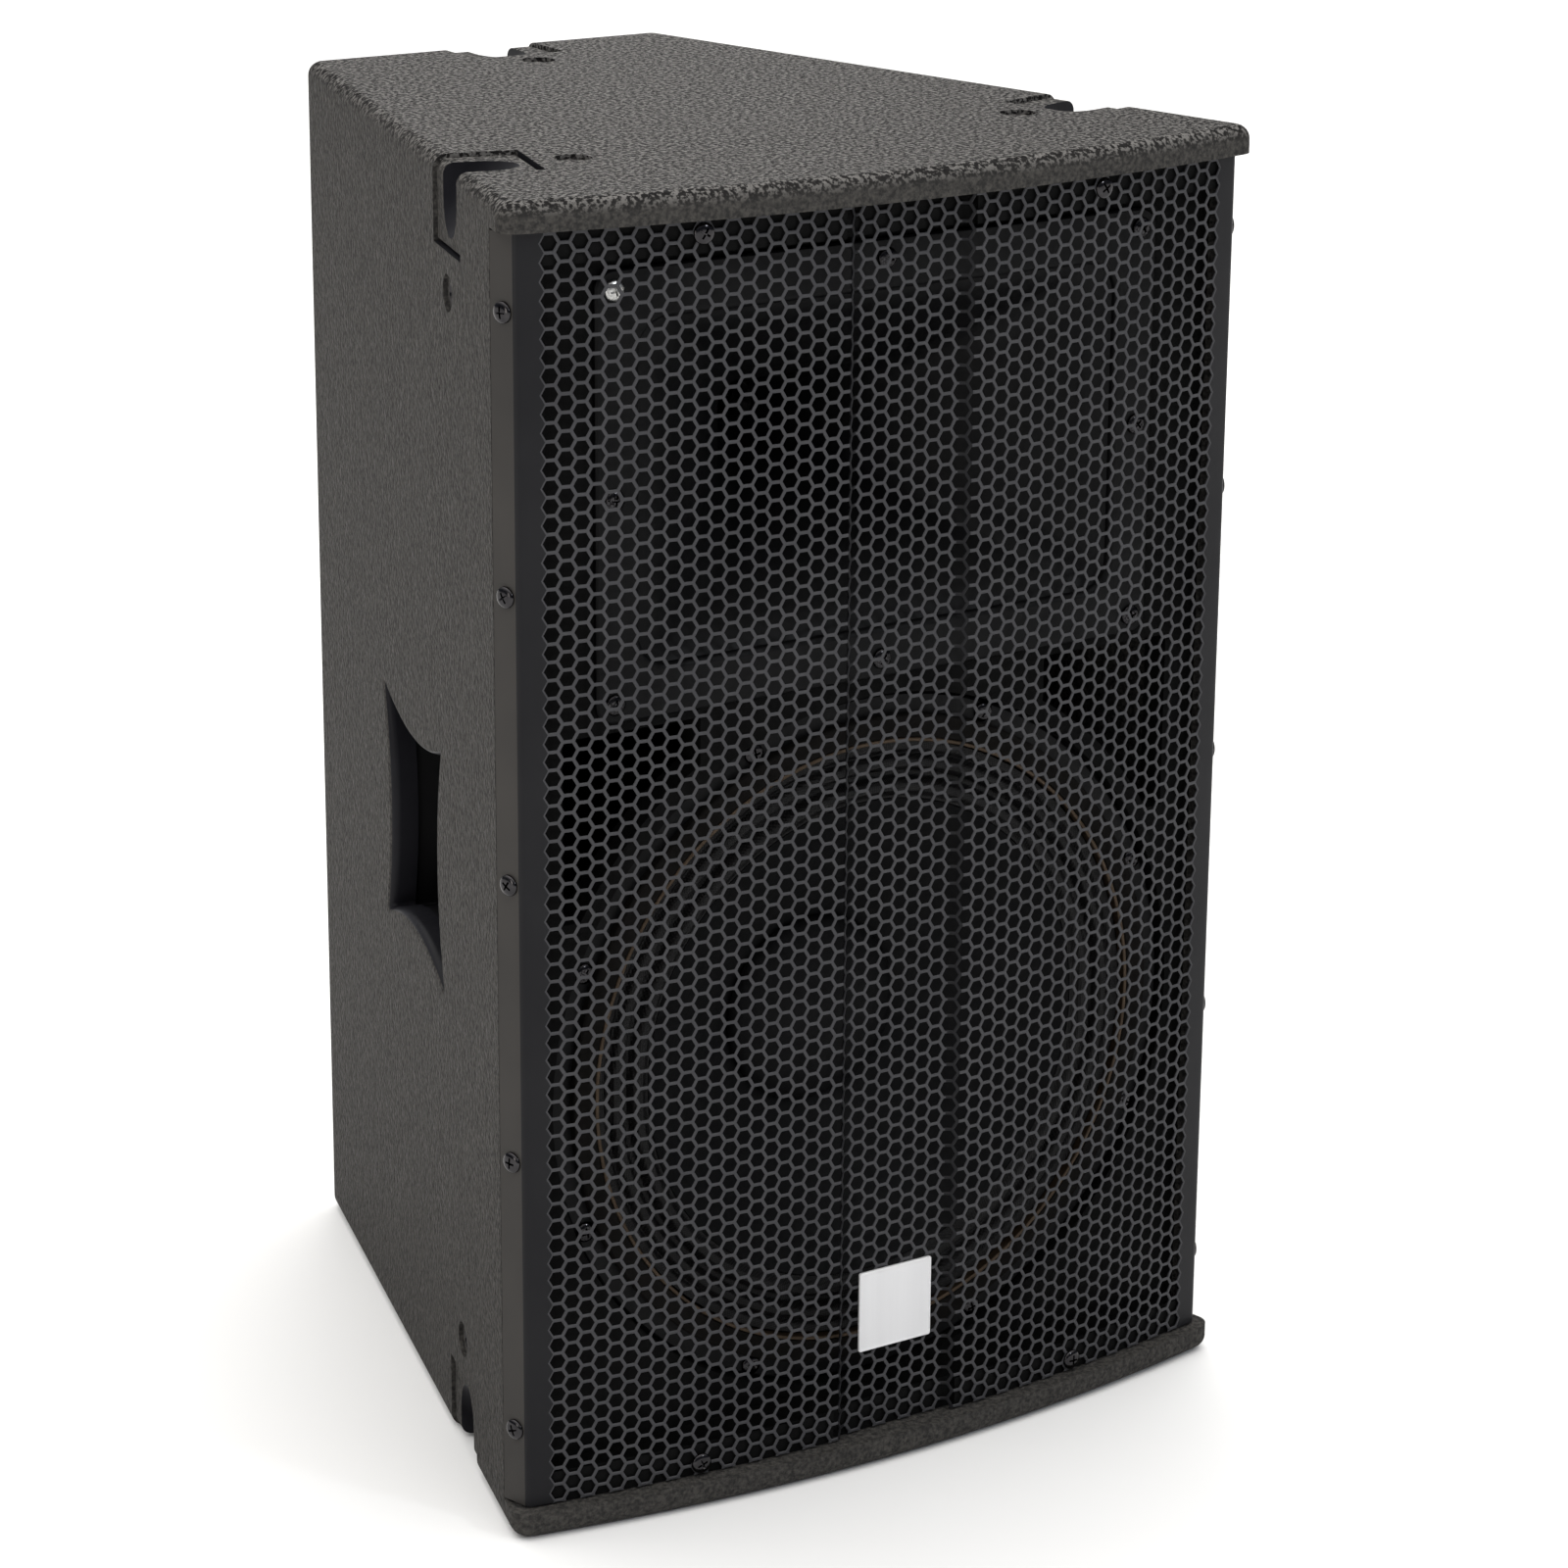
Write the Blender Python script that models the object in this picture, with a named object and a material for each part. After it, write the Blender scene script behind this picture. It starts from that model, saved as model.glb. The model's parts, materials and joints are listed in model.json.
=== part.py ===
"""Two-way PA loudspeaker: a trapezoid plywood cabinet with a 15-inch woofer, a horn and a steel grille.

Units are metres. +Z is up, the front faces -Y, and X is to the right seen from the front.
The origin is the centre of the footprint, on the floor.
"""
import math

import bmesh
import bpy
from mathutils import Matrix, Vector

# ---- driving dimensions -------------------------------------------------------------------------
HEIGHT = 0.700
FRONT_WIDTH = 0.450        # at the sharp corners, before rounding
REAR_WIDTH = 0.228
SIDE_RUN = 0.436            # front corner to rear face, along Y
BOW = 0.024                 # how far the front edge of the top and bottom stands forward at its middle
PLY = 0.015                 # plywood thickness
EDGE_RADIUS = 0.008         # rounding of the cabinet's outer edges
GAP = 0.0003                # between pieces that touch

FRONT_Y = -(SIDE_RUN + BOW) / 2 + BOW
REAR_Y = FRONT_Y + SIDE_RUN
TAPER = (FRONT_WIDTH - REAR_WIDTH) / 2 / SIDE_RUN
SLANT = math.atan(TAPER)    # angle of each side to the centre plane
SIN_SLANT = math.sin(SLANT)
COS_SLANT = math.cos(SLANT)

# grille: a bowed steel sheet with a sunk channel down its middle and a flange down each side
SHEET = 0.0015
GRILLE_CLEARANCE = 0.0012   # above and below, to the top and bottom panels
GRILLE_SET_BACK = 0.008     # front edge of the panels to the grille, at the middle
FLANGE_END = (0.0212, 0.0)  # along the side from its front corner, and in from its face
FLANGE_BEND = (0.0069, 0.0090)
CHANNEL_HALF = 0.031
CHANNEL_SLOPE = 0.006
CHANNEL_DEPTH = 0.005
BADGE_SIZE = 0.0455
BADGE_HEIGHT = 0.0855

SCREW_HEAD_R = 0.0055
SCREW_HEAD_H = 0.0026
SHANK_R = 0.0020
SHANK_LENGTH = 0.009
SHANK_HOLE_R = 0.0024
SIDE_SCREW_Z = [0.058 + 0.1485 * i for i in range(4)] + [0.645]
FRONT_SCREW_X = 0.119
FRONT_SCREW_IN = 0.0225     # from the top or bottom of the cabinet

# baffle, horn and woofer; depths run back from the front corners of the cabinet
BAFFLE_DEPTH = 0.014
BAFFLE_THICKNESS = 0.018
BATTEN_HEIGHT = 0.0175
BATTEN_HALF = 0.203
WOOFER_Z = 0.226
WOOFER_RIM_R = 0.191
WOOFER_SEAT = 0.010         # rebate in the baffle that the rim sits in
WOOFER_HOLE_R = 0.1765
HORN_Z = 0.545
HORN_FLANGE = (0.168, 0.115)
HORN_MOUTH = (0.143, 0.088)
HORN_LENGTH = 0.150
THROAT_R = 0.0127
PORT_TOP = 0.424
PORT_BOTTOM = 0.327
PORT_OUTER_X = 0.186
PORT_RING_R = 0.203         # the ports stop at this radius round the woofer
PORT_INNER_X = 0.106

# rigging corners: a recess over the edge with a steel plate, and a threaded bracket inside
RIG_ALONG = 0.110           # front corner to the middle of a side fitting
RIG_HALF = 0.0265
RIG_LEG = 0.042
RIG_RECESS = 0.002
RIG_PLATE = 0.003
NOTCH_R = 0.014             # a round-bottomed groove across the corner
NOTCH_DEPTH = 0.0279        # edge to the bottom of the groove, square to it
NOTCH_REACH = 0.0295
NOTCH_WALL = 0.0022
BOLT_IN = 0.065             # edge of the cabinet to the threaded hole
BOSS_R = 0.0092
BOSS_HOLE_R = 0.0096
THREAD_R = 0.00425
BRACKET_HALF = 0.020
BRACKET_LEG = 0.083
BRACKET_THICKNESS = 0.004

# handle cut-out: four concave sides
HANDLE_ALONG = 0.209
HANDLE_Z = 0.318
HANDLE_CORNER = 0.065
HANDLE_WAIST = 0.052
POCKET_DEPTH = 0.062

# rear connector dish
DISH_Z = 0.330
DISH_FLANGE = (0.080, 0.050)
DISH_OPENING = (0.068, 0.038)
DISH_DEPTH = 0.022
SOCKET_X = 0.032

ROUND_STEPS = 32


# ---- materials ----------------------------------------------------------------------------------
def material(name, colour, roughness, metallic=0.0):
    made = bpy.data.materials.new(name)
    made.use_nodes = True
    shader = made.node_tree.nodes["Principled BSDF"]
    shader.inputs["Base Color"].default_value = (*colour, 1.0)
    shader.inputs["Roughness"].default_value = roughness
    shader.inputs["Metallic"].default_value = metallic
    return made


# ---- mesh tools ---------------------------------------------------------------------------------
def bridge(bm, rings, cyclic=False, capped=True):
    """Faces between successive rings of equally many points. A ring of one point closes to a tip."""
    made = [[bm.verts.new(point) for point in ring] for ring in rings]
    pairs = list(zip(made, made[1:]))
    if cyclic:
        pairs.append((made[-1], made[0]))
    for near, far in pairs:
        count = max(len(near), len(far))
        for i in range(count):
            j = (i + 1) % count
            corners = [near[i % len(near)], near[j % len(near)], far[j % len(far)], far[i % len(far)]]
            bm.faces.new(list(dict.fromkeys(corners)))
    if capped and not cyclic:
        for ring in (made[0], made[-1]):
            if len(ring) > 2:
                bm.faces.new(ring)
    return bm


def solid(rings, cyclic=False):
    return bridge(bmesh.new(), rings, cyclic)


def prism(outline, low, high):
    """An outline in XY, extruded from height low to height high."""
    return solid([[(x, y, z) for x, y in outline] for z in (low, high)])


def turned(profile, centre, closed=True, steps=ROUND_STEPS):
    """A profile of (radius, y) turned about an axis along Y. An open profile starts and ends on it."""
    rings = []
    for radius, y in profile:
        if radius == 0:
            rings.append([(centre[0], y, centre[1])])
            continue
        ring = []
        for i in range(steps):
            angle = 2 * math.pi * i / steps
            ring.append((centre[0] + radius * math.cos(angle), y, centre[1] + radius * math.sin(angle)))
        rings.append(ring)
    return solid(rings, cyclic=closed)


def cylinder(start, end, radius, steps=20):
    """A cylinder between two points."""
    start = Vector(start)
    end = Vector(end)
    turn = (end - start).to_track_quat("Z", "Y").to_matrix()
    rings = []
    for point in (start, end):
        ring = []
        for i in range(steps):
            angle = 2 * math.pi * i / steps
            ring.append(point + turn @ Vector((radius * math.cos(angle), radius * math.sin(angle), 0)))
        rings.append(ring)
    return solid(rings)


def block(low, high):
    outline = [(low[0], low[1]), (high[0], low[1]), (high[0], high[1]), (low[0], high[1])]
    return prism(outline, low[2], high[2])


def moved(bm, matrix):
    bmesh.ops.transform(bm, matrix=matrix, verts=bm.verts)
    return bm


def joined(*parts):
    """Separate bodies gathered in one mesh, for cutters whose bodies don't touch."""
    whole = bmesh.new()
    for part in parts:
        mesh = bpy.data.meshes.new("part")
        part.to_mesh(mesh)
        part.free()
        whole.from_mesh(mesh)
        bpy.data.meshes.remove(mesh)
    return whole


def add(name, bm, made_of, smooth=None):
    """An object of this mesh, with its faces pointing out."""
    bmesh.ops.recalc_face_normals(bm, faces=bm.faces)
    if bm.calc_volume(signed=True) < 0:
        bmesh.ops.reverse_faces(bm, faces=bm.faces)
    mesh = bpy.data.meshes.new(name)
    bm.to_mesh(mesh)
    bm.free()
    if smooth is not None:
        mesh.shade_smooth()
        mesh.set_sharp_from_angle(angle=math.radians(smooth))
    if made_of is not None:
        mesh.materials.append(made_of)
    made = bpy.data.objects.new(name, mesh)
    bpy.context.scene.collection.objects.link(made)
    return made


def boolean(target, bm, operation="DIFFERENCE"):
    """Cuts a closed mesh from the target, or joins it on. The cutter stays in the file as a guide."""
    count = len(target.modifiers) + 1
    tool = add(f"{target.name}_tool_{count}", bm, None)
    tool.hide_render = True
    tool.display_type = "WIRE"
    modifier = target.modifiers.new(tool.name, "BOOLEAN")
    modifier.operation = operation
    modifier.solver = "EXACT"
    modifier.object = tool
    return target


# ---- outlines -----------------------------------------------------------------------------------
def arc(centre, radius, start, end, steps):
    """Points on an arc, with angles in degrees."""
    points = []
    for i in range(steps + 1):
        angle = math.radians(start + (end - start) * i / steps)
        points.append((centre[0] + radius * math.cos(angle), centre[1] + radius * math.sin(angle)))
    return points


def rounded_rectangle(half_width, half_height, radius, steps=4):
    """A rectangle about the origin with round corners, as four arcs of steps + 1 points."""
    points = []
    for start, sx, sy in ((0, 1, 1), (90, -1, 1), (180, -1, -1), (270, 1, -1)):
        centre = (sx * (half_width - radius), sy * (half_height - radius))
        points += arc(centre, radius, start, start + 90, steps)
    return points


def half_width(y):
    return FRONT_WIDTH / 2 - (y - FRONT_Y) * TAPER


def on_side(side, along, inward):
    """XY of a point given along a side from its front corner, and in from its outer face.
    side is -1 for the left and 1 for the right."""
    x = FRONT_WIDTH / 2 - along * SIN_SLANT - inward * COS_SLANT
    y = FRONT_Y + along * COS_SLANT - inward * SIN_SLANT
    return side * x, y


def side_frame(side):
    """Takes (along, inward, up) on a side panel to world coordinates."""
    origin = Vector((*on_side(side, 0, 0), 0))
    along = Vector((-side * SIN_SLANT, COS_SLANT, 0))
    inward = Vector((-side * COS_SLANT, -SIN_SLANT, 0))
    return frame_of(origin, along, inward, Vector((0, 0, 1)))


def frame_of(origin, first, second, third):
    matrix = Matrix.Identity(4)
    for column, vector in enumerate((first, second, third, origin)):
        for row in range(3):
            matrix[row][column] = vector[row]
    return matrix


def panel_outline(inset, corner=0.0095, bow_steps=16):
    """The outline of the top and bottom panels, drawn in from the cabinet's faces by inset."""
    sagitta_radius = ((FRONT_WIDTH / 2) ** 2 + BOW ** 2) / (2 * BOW)
    centre_y = FRONT_Y - BOW + sagitta_radius
    radius = sagitta_radius - inset
    fillet = corner - inset
    front_corners = []
    rear_corners = []
    for side in (-1, 1):
        # the fillet's centre lies inside both the bow and the slanted side
        low = FRONT_Y - BOW
        high = REAR_Y
        for _ in range(60):
            y = (low + high) / 2
            x = half_width(y) - (inset + fillet) / COS_SLANT
            if math.hypot(x, y - centre_y) > radius - fillet:
                low = y
            else:
                high = y
        front_corners.append((side * x, y))
        rear_y = REAR_Y - inset - fillet
        rear_corners.append((side * (half_width(rear_y) - (inset + fillet) / COS_SLANT), rear_y))
    (left_x, left_y), (right_x, right_y) = front_corners
    bow_half = math.degrees(math.asin(right_x / (radius - fillet)))
    slant = math.degrees(SLANT)
    points = arc((0, centre_y), radius, 270 - bow_half, 270 + bow_half, bow_steps)
    points += arc((right_x, right_y), fillet, 270 + bow_half, 360 + slant, 3)[1:]
    points += arc(rear_corners[1], fillet, slant, 90, 3)
    points += arc(rear_corners[0], fillet, 90, 180 - slant, 3)
    points += arc((left_x, left_y), fillet, 180 - slant, 270 - bow_half, 3)[:-1]
    return points


def grille_y(x):
    """The grille's outer face beside its channel."""
    middle = FRONT_Y - BOW + GRILLE_SET_BACK
    bend_x, bend_y = on_side(1, *FLANGE_BEND)
    return middle + (bend_y - middle) * (x / bend_x) ** 2


# ---- cabinet ------------------------------------------------------------------------------------
def end_panel(name, top, wood):
    """The top or bottom panel, with its outer edge rounded over."""
    face = HEIGHT if top else 0.0
    inner = HEIGHT - PLY if top else PLY
    way = 1 if top else -1
    rings = [[(x, y, inner) for x, y in panel_outline(0.0)]]
    for i in range(4):
        angle = math.pi / 2 * i / 3
        inset = EDGE_RADIUS * (1 - math.cos(angle))
        z = face - way * EDGE_RADIUS * (1 - math.sin(angle))
        rings.append([(x, y, z) for x, y in panel_outline(inset)])
    return add(name, solid(rings), wood, smooth=35)


def side_panel(name, side, wood):
    """A slanted side: its front end is stepped back and angled to carry the grille's flange."""
    flange = Vector(FLANGE_BEND) - Vector(FLANGE_END)
    flange.normalize()
    behind = Vector((-flange.y, flange.x))
    if behind.y < 0:
        behind.negate()
    seat = Vector(FLANGE_END) + behind * (SHEET + GAP)
    lip = seat + flange * 0.0125
    rear_along = SIDE_RUN / COS_SLANT
    rear_centre = (rear_along - EDGE_RADIUS * math.tan(math.pi / 4 - SLANT / 2) - 0.002, EDGE_RADIUS)
    outline = [(FLANGE_END[0] + 0.0008, 0.0), tuple(seat), tuple(lip), (lip.x, PLY)]
    outline += [(rear_along + PLY * TAPER, PLY)]
    rear_face_angle = -math.degrees(SLANT)
    edge = arc(rear_centre, EDGE_RADIUS, rear_face_angle, -90, 6)
    outline += edge
    points = [on_side(side, along, inward) for along, inward in outline]
    points = [(x, min(y, REAR_Y)) for x, y in points]
    return add(name, prism(points, PLY + GAP, HEIGHT - PLY - GAP), wood, smooth=35)


def rear_panel(wood):
    """The back, set between the sides."""
    front = REAR_Y - PLY
    reach = PLY / COS_SLANT + GAP
    outline = [(half_width(y) - reach, y) for y in (front, REAR_Y)]
    outline += [(-x, y) for x, y in reversed(outline)]
    return add("rear_panel", prism(outline, PLY + GAP, HEIGHT - PLY - GAP), wood)


def front_baffle(wood):
    """The board behind the grille that carries the horn and the woofer, with two reflex ports."""
    front = FRONT_Y + BAFFLE_DEPTH
    back = front + BAFFLE_THICKNESS
    reach = PLY / COS_SLANT + GAP
    outline = [(half_width(y) - reach, y) for y in (front, back)]
    outline += [(-x, y) for x, y in reversed(outline)]
    board = add("front_baffle", prism(outline, PLY + GAP, HEIGHT - PLY - GAP), wood)
    seat = front + WOOFER_SEAT
    rebate = WOOFER_RIM_R + 0.002
    profile = [(0, front - 0.005), (rebate, front - 0.005), (rebate, seat), (WOOFER_HOLE_R, seat),
               (WOOFER_HOLE_R, back + 0.005), (0, back + 0.005)]
    woofer = turned(profile, (0, WOOFER_Z), closed=False, steps=64)
    boolean(board, woofer)
    hole = rounded_rectangle(HORN_MOUTH[0] + 0.008, HORN_MOUTH[1] + 0.008, 0.020)
    boolean(board, solid([[(x, y, HORN_Z + z) for x, z in hole] for y in (front - 0.005, back + 0.005)]))
    for side in (-1, 1):
        boolean(board, port_cutter(side, front - 0.005, back + 0.005))
    return board


def port_cutter(side, front, back):
    """A corner between the baffle's edge, the horn and the woofer, its long side round the woofer."""
    start = math.degrees(math.acos(PORT_INNER_X / PORT_RING_R))
    end = math.degrees(math.asin((PORT_BOTTOM - WOOFER_Z) / PORT_RING_R))
    inner = arc((0, WOOFER_Z), PORT_RING_R, start, end, 10)
    outline = [(PORT_INNER_X, PORT_TOP)] + inner + [(PORT_OUTER_X, PORT_BOTTOM), (PORT_OUTER_X, PORT_TOP)]
    return solid([[(side * x, y, z) for x, z in outline] for y in (front, back)])


def grille_batten(name, low, wood):
    """A strip behind the grille's top or bottom edge, shaped to the grille's bow and channel."""
    back = FRONT_Y + BAFFLE_DEPTH - GAP
    channel = CHANNEL_HALF + CHANNEL_SLOPE + 0.002
    behind = SHEET + 0.0005
    steps = 10
    wing = [channel + (BATTEN_HALF - channel) * i / steps for i in range(steps + 1)]
    curve = [(x, grille_y(x) + behind) for x in wing]
    sunk = grille_y(0) + CHANNEL_DEPTH + behind
    front = [(-x, y) for x, y in reversed(curve)] + [(-channel, sunk), (channel, sunk)] + curve
    outline = front + [(BATTEN_HALF, back), (-BATTEN_HALF, back)]
    return add(name, prism(outline, low, low + BATTEN_HEIGHT), wood)


# ---- grille -------------------------------------------------------------------------------------
def grille_path():
    """The grille's outer face in plan, from its left flange to its right one."""
    steps = 14
    bend_x = on_side(1, *FLANGE_BEND)[0]
    shoulder = CHANNEL_HALF + CHANNEL_SLOPE
    wing = [shoulder + (bend_x - shoulder) * i / steps for i in range(steps + 1)]
    sunk = grille_y(0) + CHANNEL_DEPTH
    half = [(CHANNEL_HALF, sunk)] + [(x, grille_y(x)) for x in wing] + [on_side(1, *FLANGE_END)]
    return [(-x, y) for x, y in reversed(half)] + half


def sheet_rings(path, thickness, low, high):
    """Rings across a bent sheet, one at each point of its path, whose inner side faces +Y."""
    rings = []
    last = len(path) - 1
    for i, (x, y) in enumerate(path):
        before = Vector(path[max(i - 1, 0)])
        here = Vector((x, y))
        after = Vector(path[min(i + 1, last)])
        ways = [way.normalized() for way in (here - before, after - here) if way.length > 0]
        normals = [Vector((-way.y, way.x)) for way in ways]
        normal = sum(normals, Vector((0, 0))).normalized()
        reach = thickness / normal.dot(normals[0])
        inner = here + normal * reach
        rings.append([(x, y, low), (inner.x, inner.y, low), (inner.x, inner.y, high), (x, y, high)])
    return rings


def grille(steel):
    low = PLY + GRILLE_CLEARANCE
    rings = sheet_rings(grille_path(), SHEET, low, HEIGHT - low)
    return add("grille", solid(rings), steel)


def screw(name, seat, inward, steel):
    """A pan-head screw whose head rests on seat and whose shank points inward."""
    head = [(0, -SCREW_HEAD_H - GAP)]
    for i in range(1, 3):
        angle = math.pi / 2 * i / 2
        head.append((SCREW_HEAD_R * math.sin(angle), -SCREW_HEAD_H * math.cos(angle) - GAP))
    profile = head + [(SHANK_R, -GAP), (SHANK_R, SHANK_LENGTH), (0, SHANK_LENGTH + 0.001)]
    bm = turned(profile, (0, 0), closed=False, steps=8)
    turn = Vector((0, 1, 0)).rotation_difference(Vector(inward)).to_matrix().to_4x4()
    moved(bm, Matrix.Translation(Vector(seat)) @ turn)
    return add(name, bm, steel, smooth=40)


def screw_places():
    """Name, seat and direction of each grille screw."""
    places = []
    middle = (Vector(FLANGE_END) + Vector(FLANGE_BEND)) / 2
    flange = (Vector(FLANGE_BEND) - Vector(FLANGE_END)).normalized()
    behind = Vector((-flange.y, flange.x))
    if behind.y < 0:
        behind.negate()
    for side, word in ((-1, "left"), (1, "right")):
        seat = Vector(on_side(side, *middle))
        inside = Vector(on_side(side, *(middle + behind)))
        inward = (inside - seat).normalized()
        for number, z in enumerate(SIDE_SCREW_Z, 1):
            places.append((f"grille_screw_{word}_{number}", (*seat, z), (*inward, 0)))
    number = 0
    for z in (FRONT_SCREW_IN, HEIGHT - FRONT_SCREW_IN):
        for x in (-FRONT_SCREW_X, FRONT_SCREW_X):
            number += 1
            slope = (grille_y(x + 0.001) - grille_y(x - 0.001)) / 0.002
            inward = Vector((-slope, 1)).normalized()
            places.append((f"grille_screw_front_{number}", (x, grille_y(x), z), (*inward, 0)))
    return places


def screw_holes(places):
    holes = []
    for _, seat, inward in places:
        seat = Vector(seat)
        inward = Vector(inward)
        end = seat + inward * (SHANK_LENGTH + 0.002)
        holes.append(cylinder(seat - inward * 0.004, end, SHANK_HOLE_R, 8))
    return joined(*holes)


def badge(metal):
    half = BADGE_SIZE / 2
    back = grille_y(0) + CHANNEL_DEPTH - GAP
    low = (-half, back - 0.0015, BADGE_HEIGHT - half)
    return add("badge", block(low, (half, back, BADGE_HEIGHT + half)), metal)


# ---- rigging ------------------------------------------------------------------------------------
def rigging_frames():
    """Name and frame of each rigging corner. A frame takes (along the edge, in over the flat end
    panel, in over the upright panel) to world coordinates, from the edge's sharp corner."""
    frames = []
    for level, z, down in (("top", HEIGHT, Vector((0, 0, -1))), ("bottom", 0.0, Vector((0, 0, 1)))):
        for side, word in ((-1, "left"), (1, "right")):
            origin = Vector((*on_side(side, RIG_ALONG, 0), z))
            along = Vector((-side * SIN_SLANT, COS_SLANT, 0))
            inward = Vector((-side * COS_SLANT, -SIN_SLANT, 0))
            frames.append((f"{level}_{word}", frame_of(origin, along, inward, down)))
        origin = Vector((0, REAR_Y, z))
        frames.append((f"{level}_rear", frame_of(origin, Vector((1, 0, 0)), Vector((0, -1, 0)), down)))
    return frames


def angle_section(outer, inner, leg, half, corner_radius=0.0):
    """An L-shaped bar along the first axis, its legs from outer to inner under both faces."""
    if corner_radius:
        centre = (outer + corner_radius, outer + corner_radius)
        corner = arc(centre, corner_radius, 180, 270, 4)
    else:
        corner = [(outer, outer)]
    outline = corner + [(leg, outer), (leg, inner), (inner, inner), (inner, leg), (outer, leg)]
    return solid([[(along, s, t) for s, t in outline] for along in (-half, half)])


def notch_groove(wall):
    """The round-bottomed groove across the corner, grown outward by wall."""
    radius = NOTCH_R + wall
    centre = NOTCH_DEPTH - NOTCH_R
    profile = [(radius, -0.030)] + arc((0, centre), radius, 0, 180, 10) + [(-radius, -0.030)]
    rings = []
    for across in (-NOTCH_REACH, NOTCH_REACH):
        rings.append([(a, (q - across) / math.sqrt(2), (q + across) / math.sqrt(2)) for a, q in profile])
    return solid(rings)


def rigging_plate(name, frame, steel):
    """The steel corner plate, with the notch pressed into it."""
    outer = RIG_RECESS
    inner = RIG_RECESS + RIG_PLATE
    corner = 0.006
    plate = add(name, moved(angle_section(outer, inner, RIG_LEG, RIG_HALF, corner), frame), steel)
    trough = add(f"{name}_trough", moved(notch_groove(NOTCH_WALL), frame), None)
    trough.hide_render = True
    trough.display_type = "WIRE"
    reach = RIG_LEG - 0.001
    within = arc((outer + corner, outer + corner), corner, 180, 270, 4) + [(reach, outer), (outer, reach)]
    ends = (-RIG_HALF + 0.001, RIG_HALF - 0.001)
    within = solid([[(along, s, t) for s, t in within] for along in ends])
    boolean(trough, moved(within, frame), "INTERSECT")
    modifier = plate.modifiers.new("trough", "BOOLEAN")
    modifier.operation = "UNION"
    modifier.solver = "EXACT"
    modifier.object = trough
    return boolean(plate, moved(notch_groove(0.0), frame))


def rigging_bracket(name, frame, steel):
    """The angle inside the corner, with a threaded boss through each panel."""
    inner = PLY + GAP
    section = angle_section(inner, inner + BRACKET_THICKNESS, BRACKET_LEG, BRACKET_HALF)
    bracket = add(name, moved(section, frame), steel)
    base = inner + BRACKET_THICKNESS / 2
    for start, end in boss_axes(RIG_RECESS + GAP, base):
        boolean(bracket, moved(cylinder(start, end, BOSS_R, 12), frame), "UNION")
    bores = [moved(cylinder(start, end, THREAD_R, 10), frame) for start, end in boss_axes(-0.002, 0.025)]
    boolean(bracket, joined(*bores))
    return boolean(bracket, moved(notch_groove(NOTCH_WALL + 0.001), frame))


def boss_axes(start, end):
    return [((0, BOLT_IN, start), (0, BOLT_IN, end)), ((0, start, BOLT_IN), (0, end, BOLT_IN))]


def rigging_cuts(frame, upright):
    """What a corner takes out of the flat end panel, or of the upright one."""
    slack = GAP
    recess = angle_section(-0.004, RIG_RECESS + RIG_PLATE + slack, RIG_LEG + slack, RIG_HALF + slack)
    groove = notch_groove(NOTCH_WALL + slack)
    start, end = boss_axes(-0.004, PLY + 0.004)[1 if upright else 0]
    hole = cylinder(start, end, BOSS_HOLE_R, 20)
    return [moved(bm, frame) for bm in (recess, groove, hole)]


# ---- handles ------------------------------------------------------------------------------------
def pincushion(scale, steps=6):
    """The handle's outline about its centre: concave sides between narrow corners."""
    corner = HANDLE_CORNER * scale
    waist = HANDLE_WAIST * scale
    span = 0.92
    side = []
    for i in range(steps + 1):
        t = span * (1 - 2 * i / steps)
        side.append(Vector((waist + (corner - waist) * t * t, corner * t)))
    points = []
    for quarter in range(4):
        turn = Matrix.Rotation(-math.pi / 2 * quarter, 2)
        next_turn = Matrix.Rotation(-math.pi / 2 * (quarter + 1), 2)
        points += [turn @ point for point in side]
        start = turn @ side[-1]
        pull = turn @ Vector((corner, -corner))
        end = next_turn @ side[0]
        for i in range(1, 4):
            t = i / 4
            points.append(start * (1 - t) ** 2 + pull * 2 * t * (1 - t) + end * t * t)
    return points


def handle_ring(scale, inward):
    return [(HANDLE_ALONG + p.x, inward, HANDLE_Z + p.y) for p in pincushion(scale)]


def handle_pocket(name, side, plastic):
    """The cup behind the cut-out, with a flange on the panel's inner face."""
    near = PLY + GAP
    wall = 0.003
    floor = near + POCKET_DEPTH
    inside = [(0.80, floor), (0.94, floor - 0.006), (1.03, near + 0.030), (1.04, near)]
    outside = [(1.24, near), (1.24, near + wall), (1.10, near + wall), (1.09, near + 0.032)]
    outside += [(1.00, floor - 0.004), (0.85, floor + wall)]
    rings = [handle_ring(scale, inward) for scale, inward in inside + outside]
    return add(name, moved(solid(rings), side_frame(side)), plastic, smooth=35)


# ---- woofer -------------------------------------------------------------------------------------
def woofer_depth(distance):
    """Y of a point this far behind the seat of the woofer's rim."""
    return FRONT_Y + BAFFLE_DEPTH + WOOFER_SEAT - GAP + distance


def woofer_part(name, profile, made_of, closed=True, smooth=35, steps=ROUND_STEPS):
    profile = [(radius, woofer_depth(depth)) for radius, depth in profile]
    return add(name, turned(profile, (0, WOOFER_Z), closed, steps), made_of, smooth)


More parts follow.
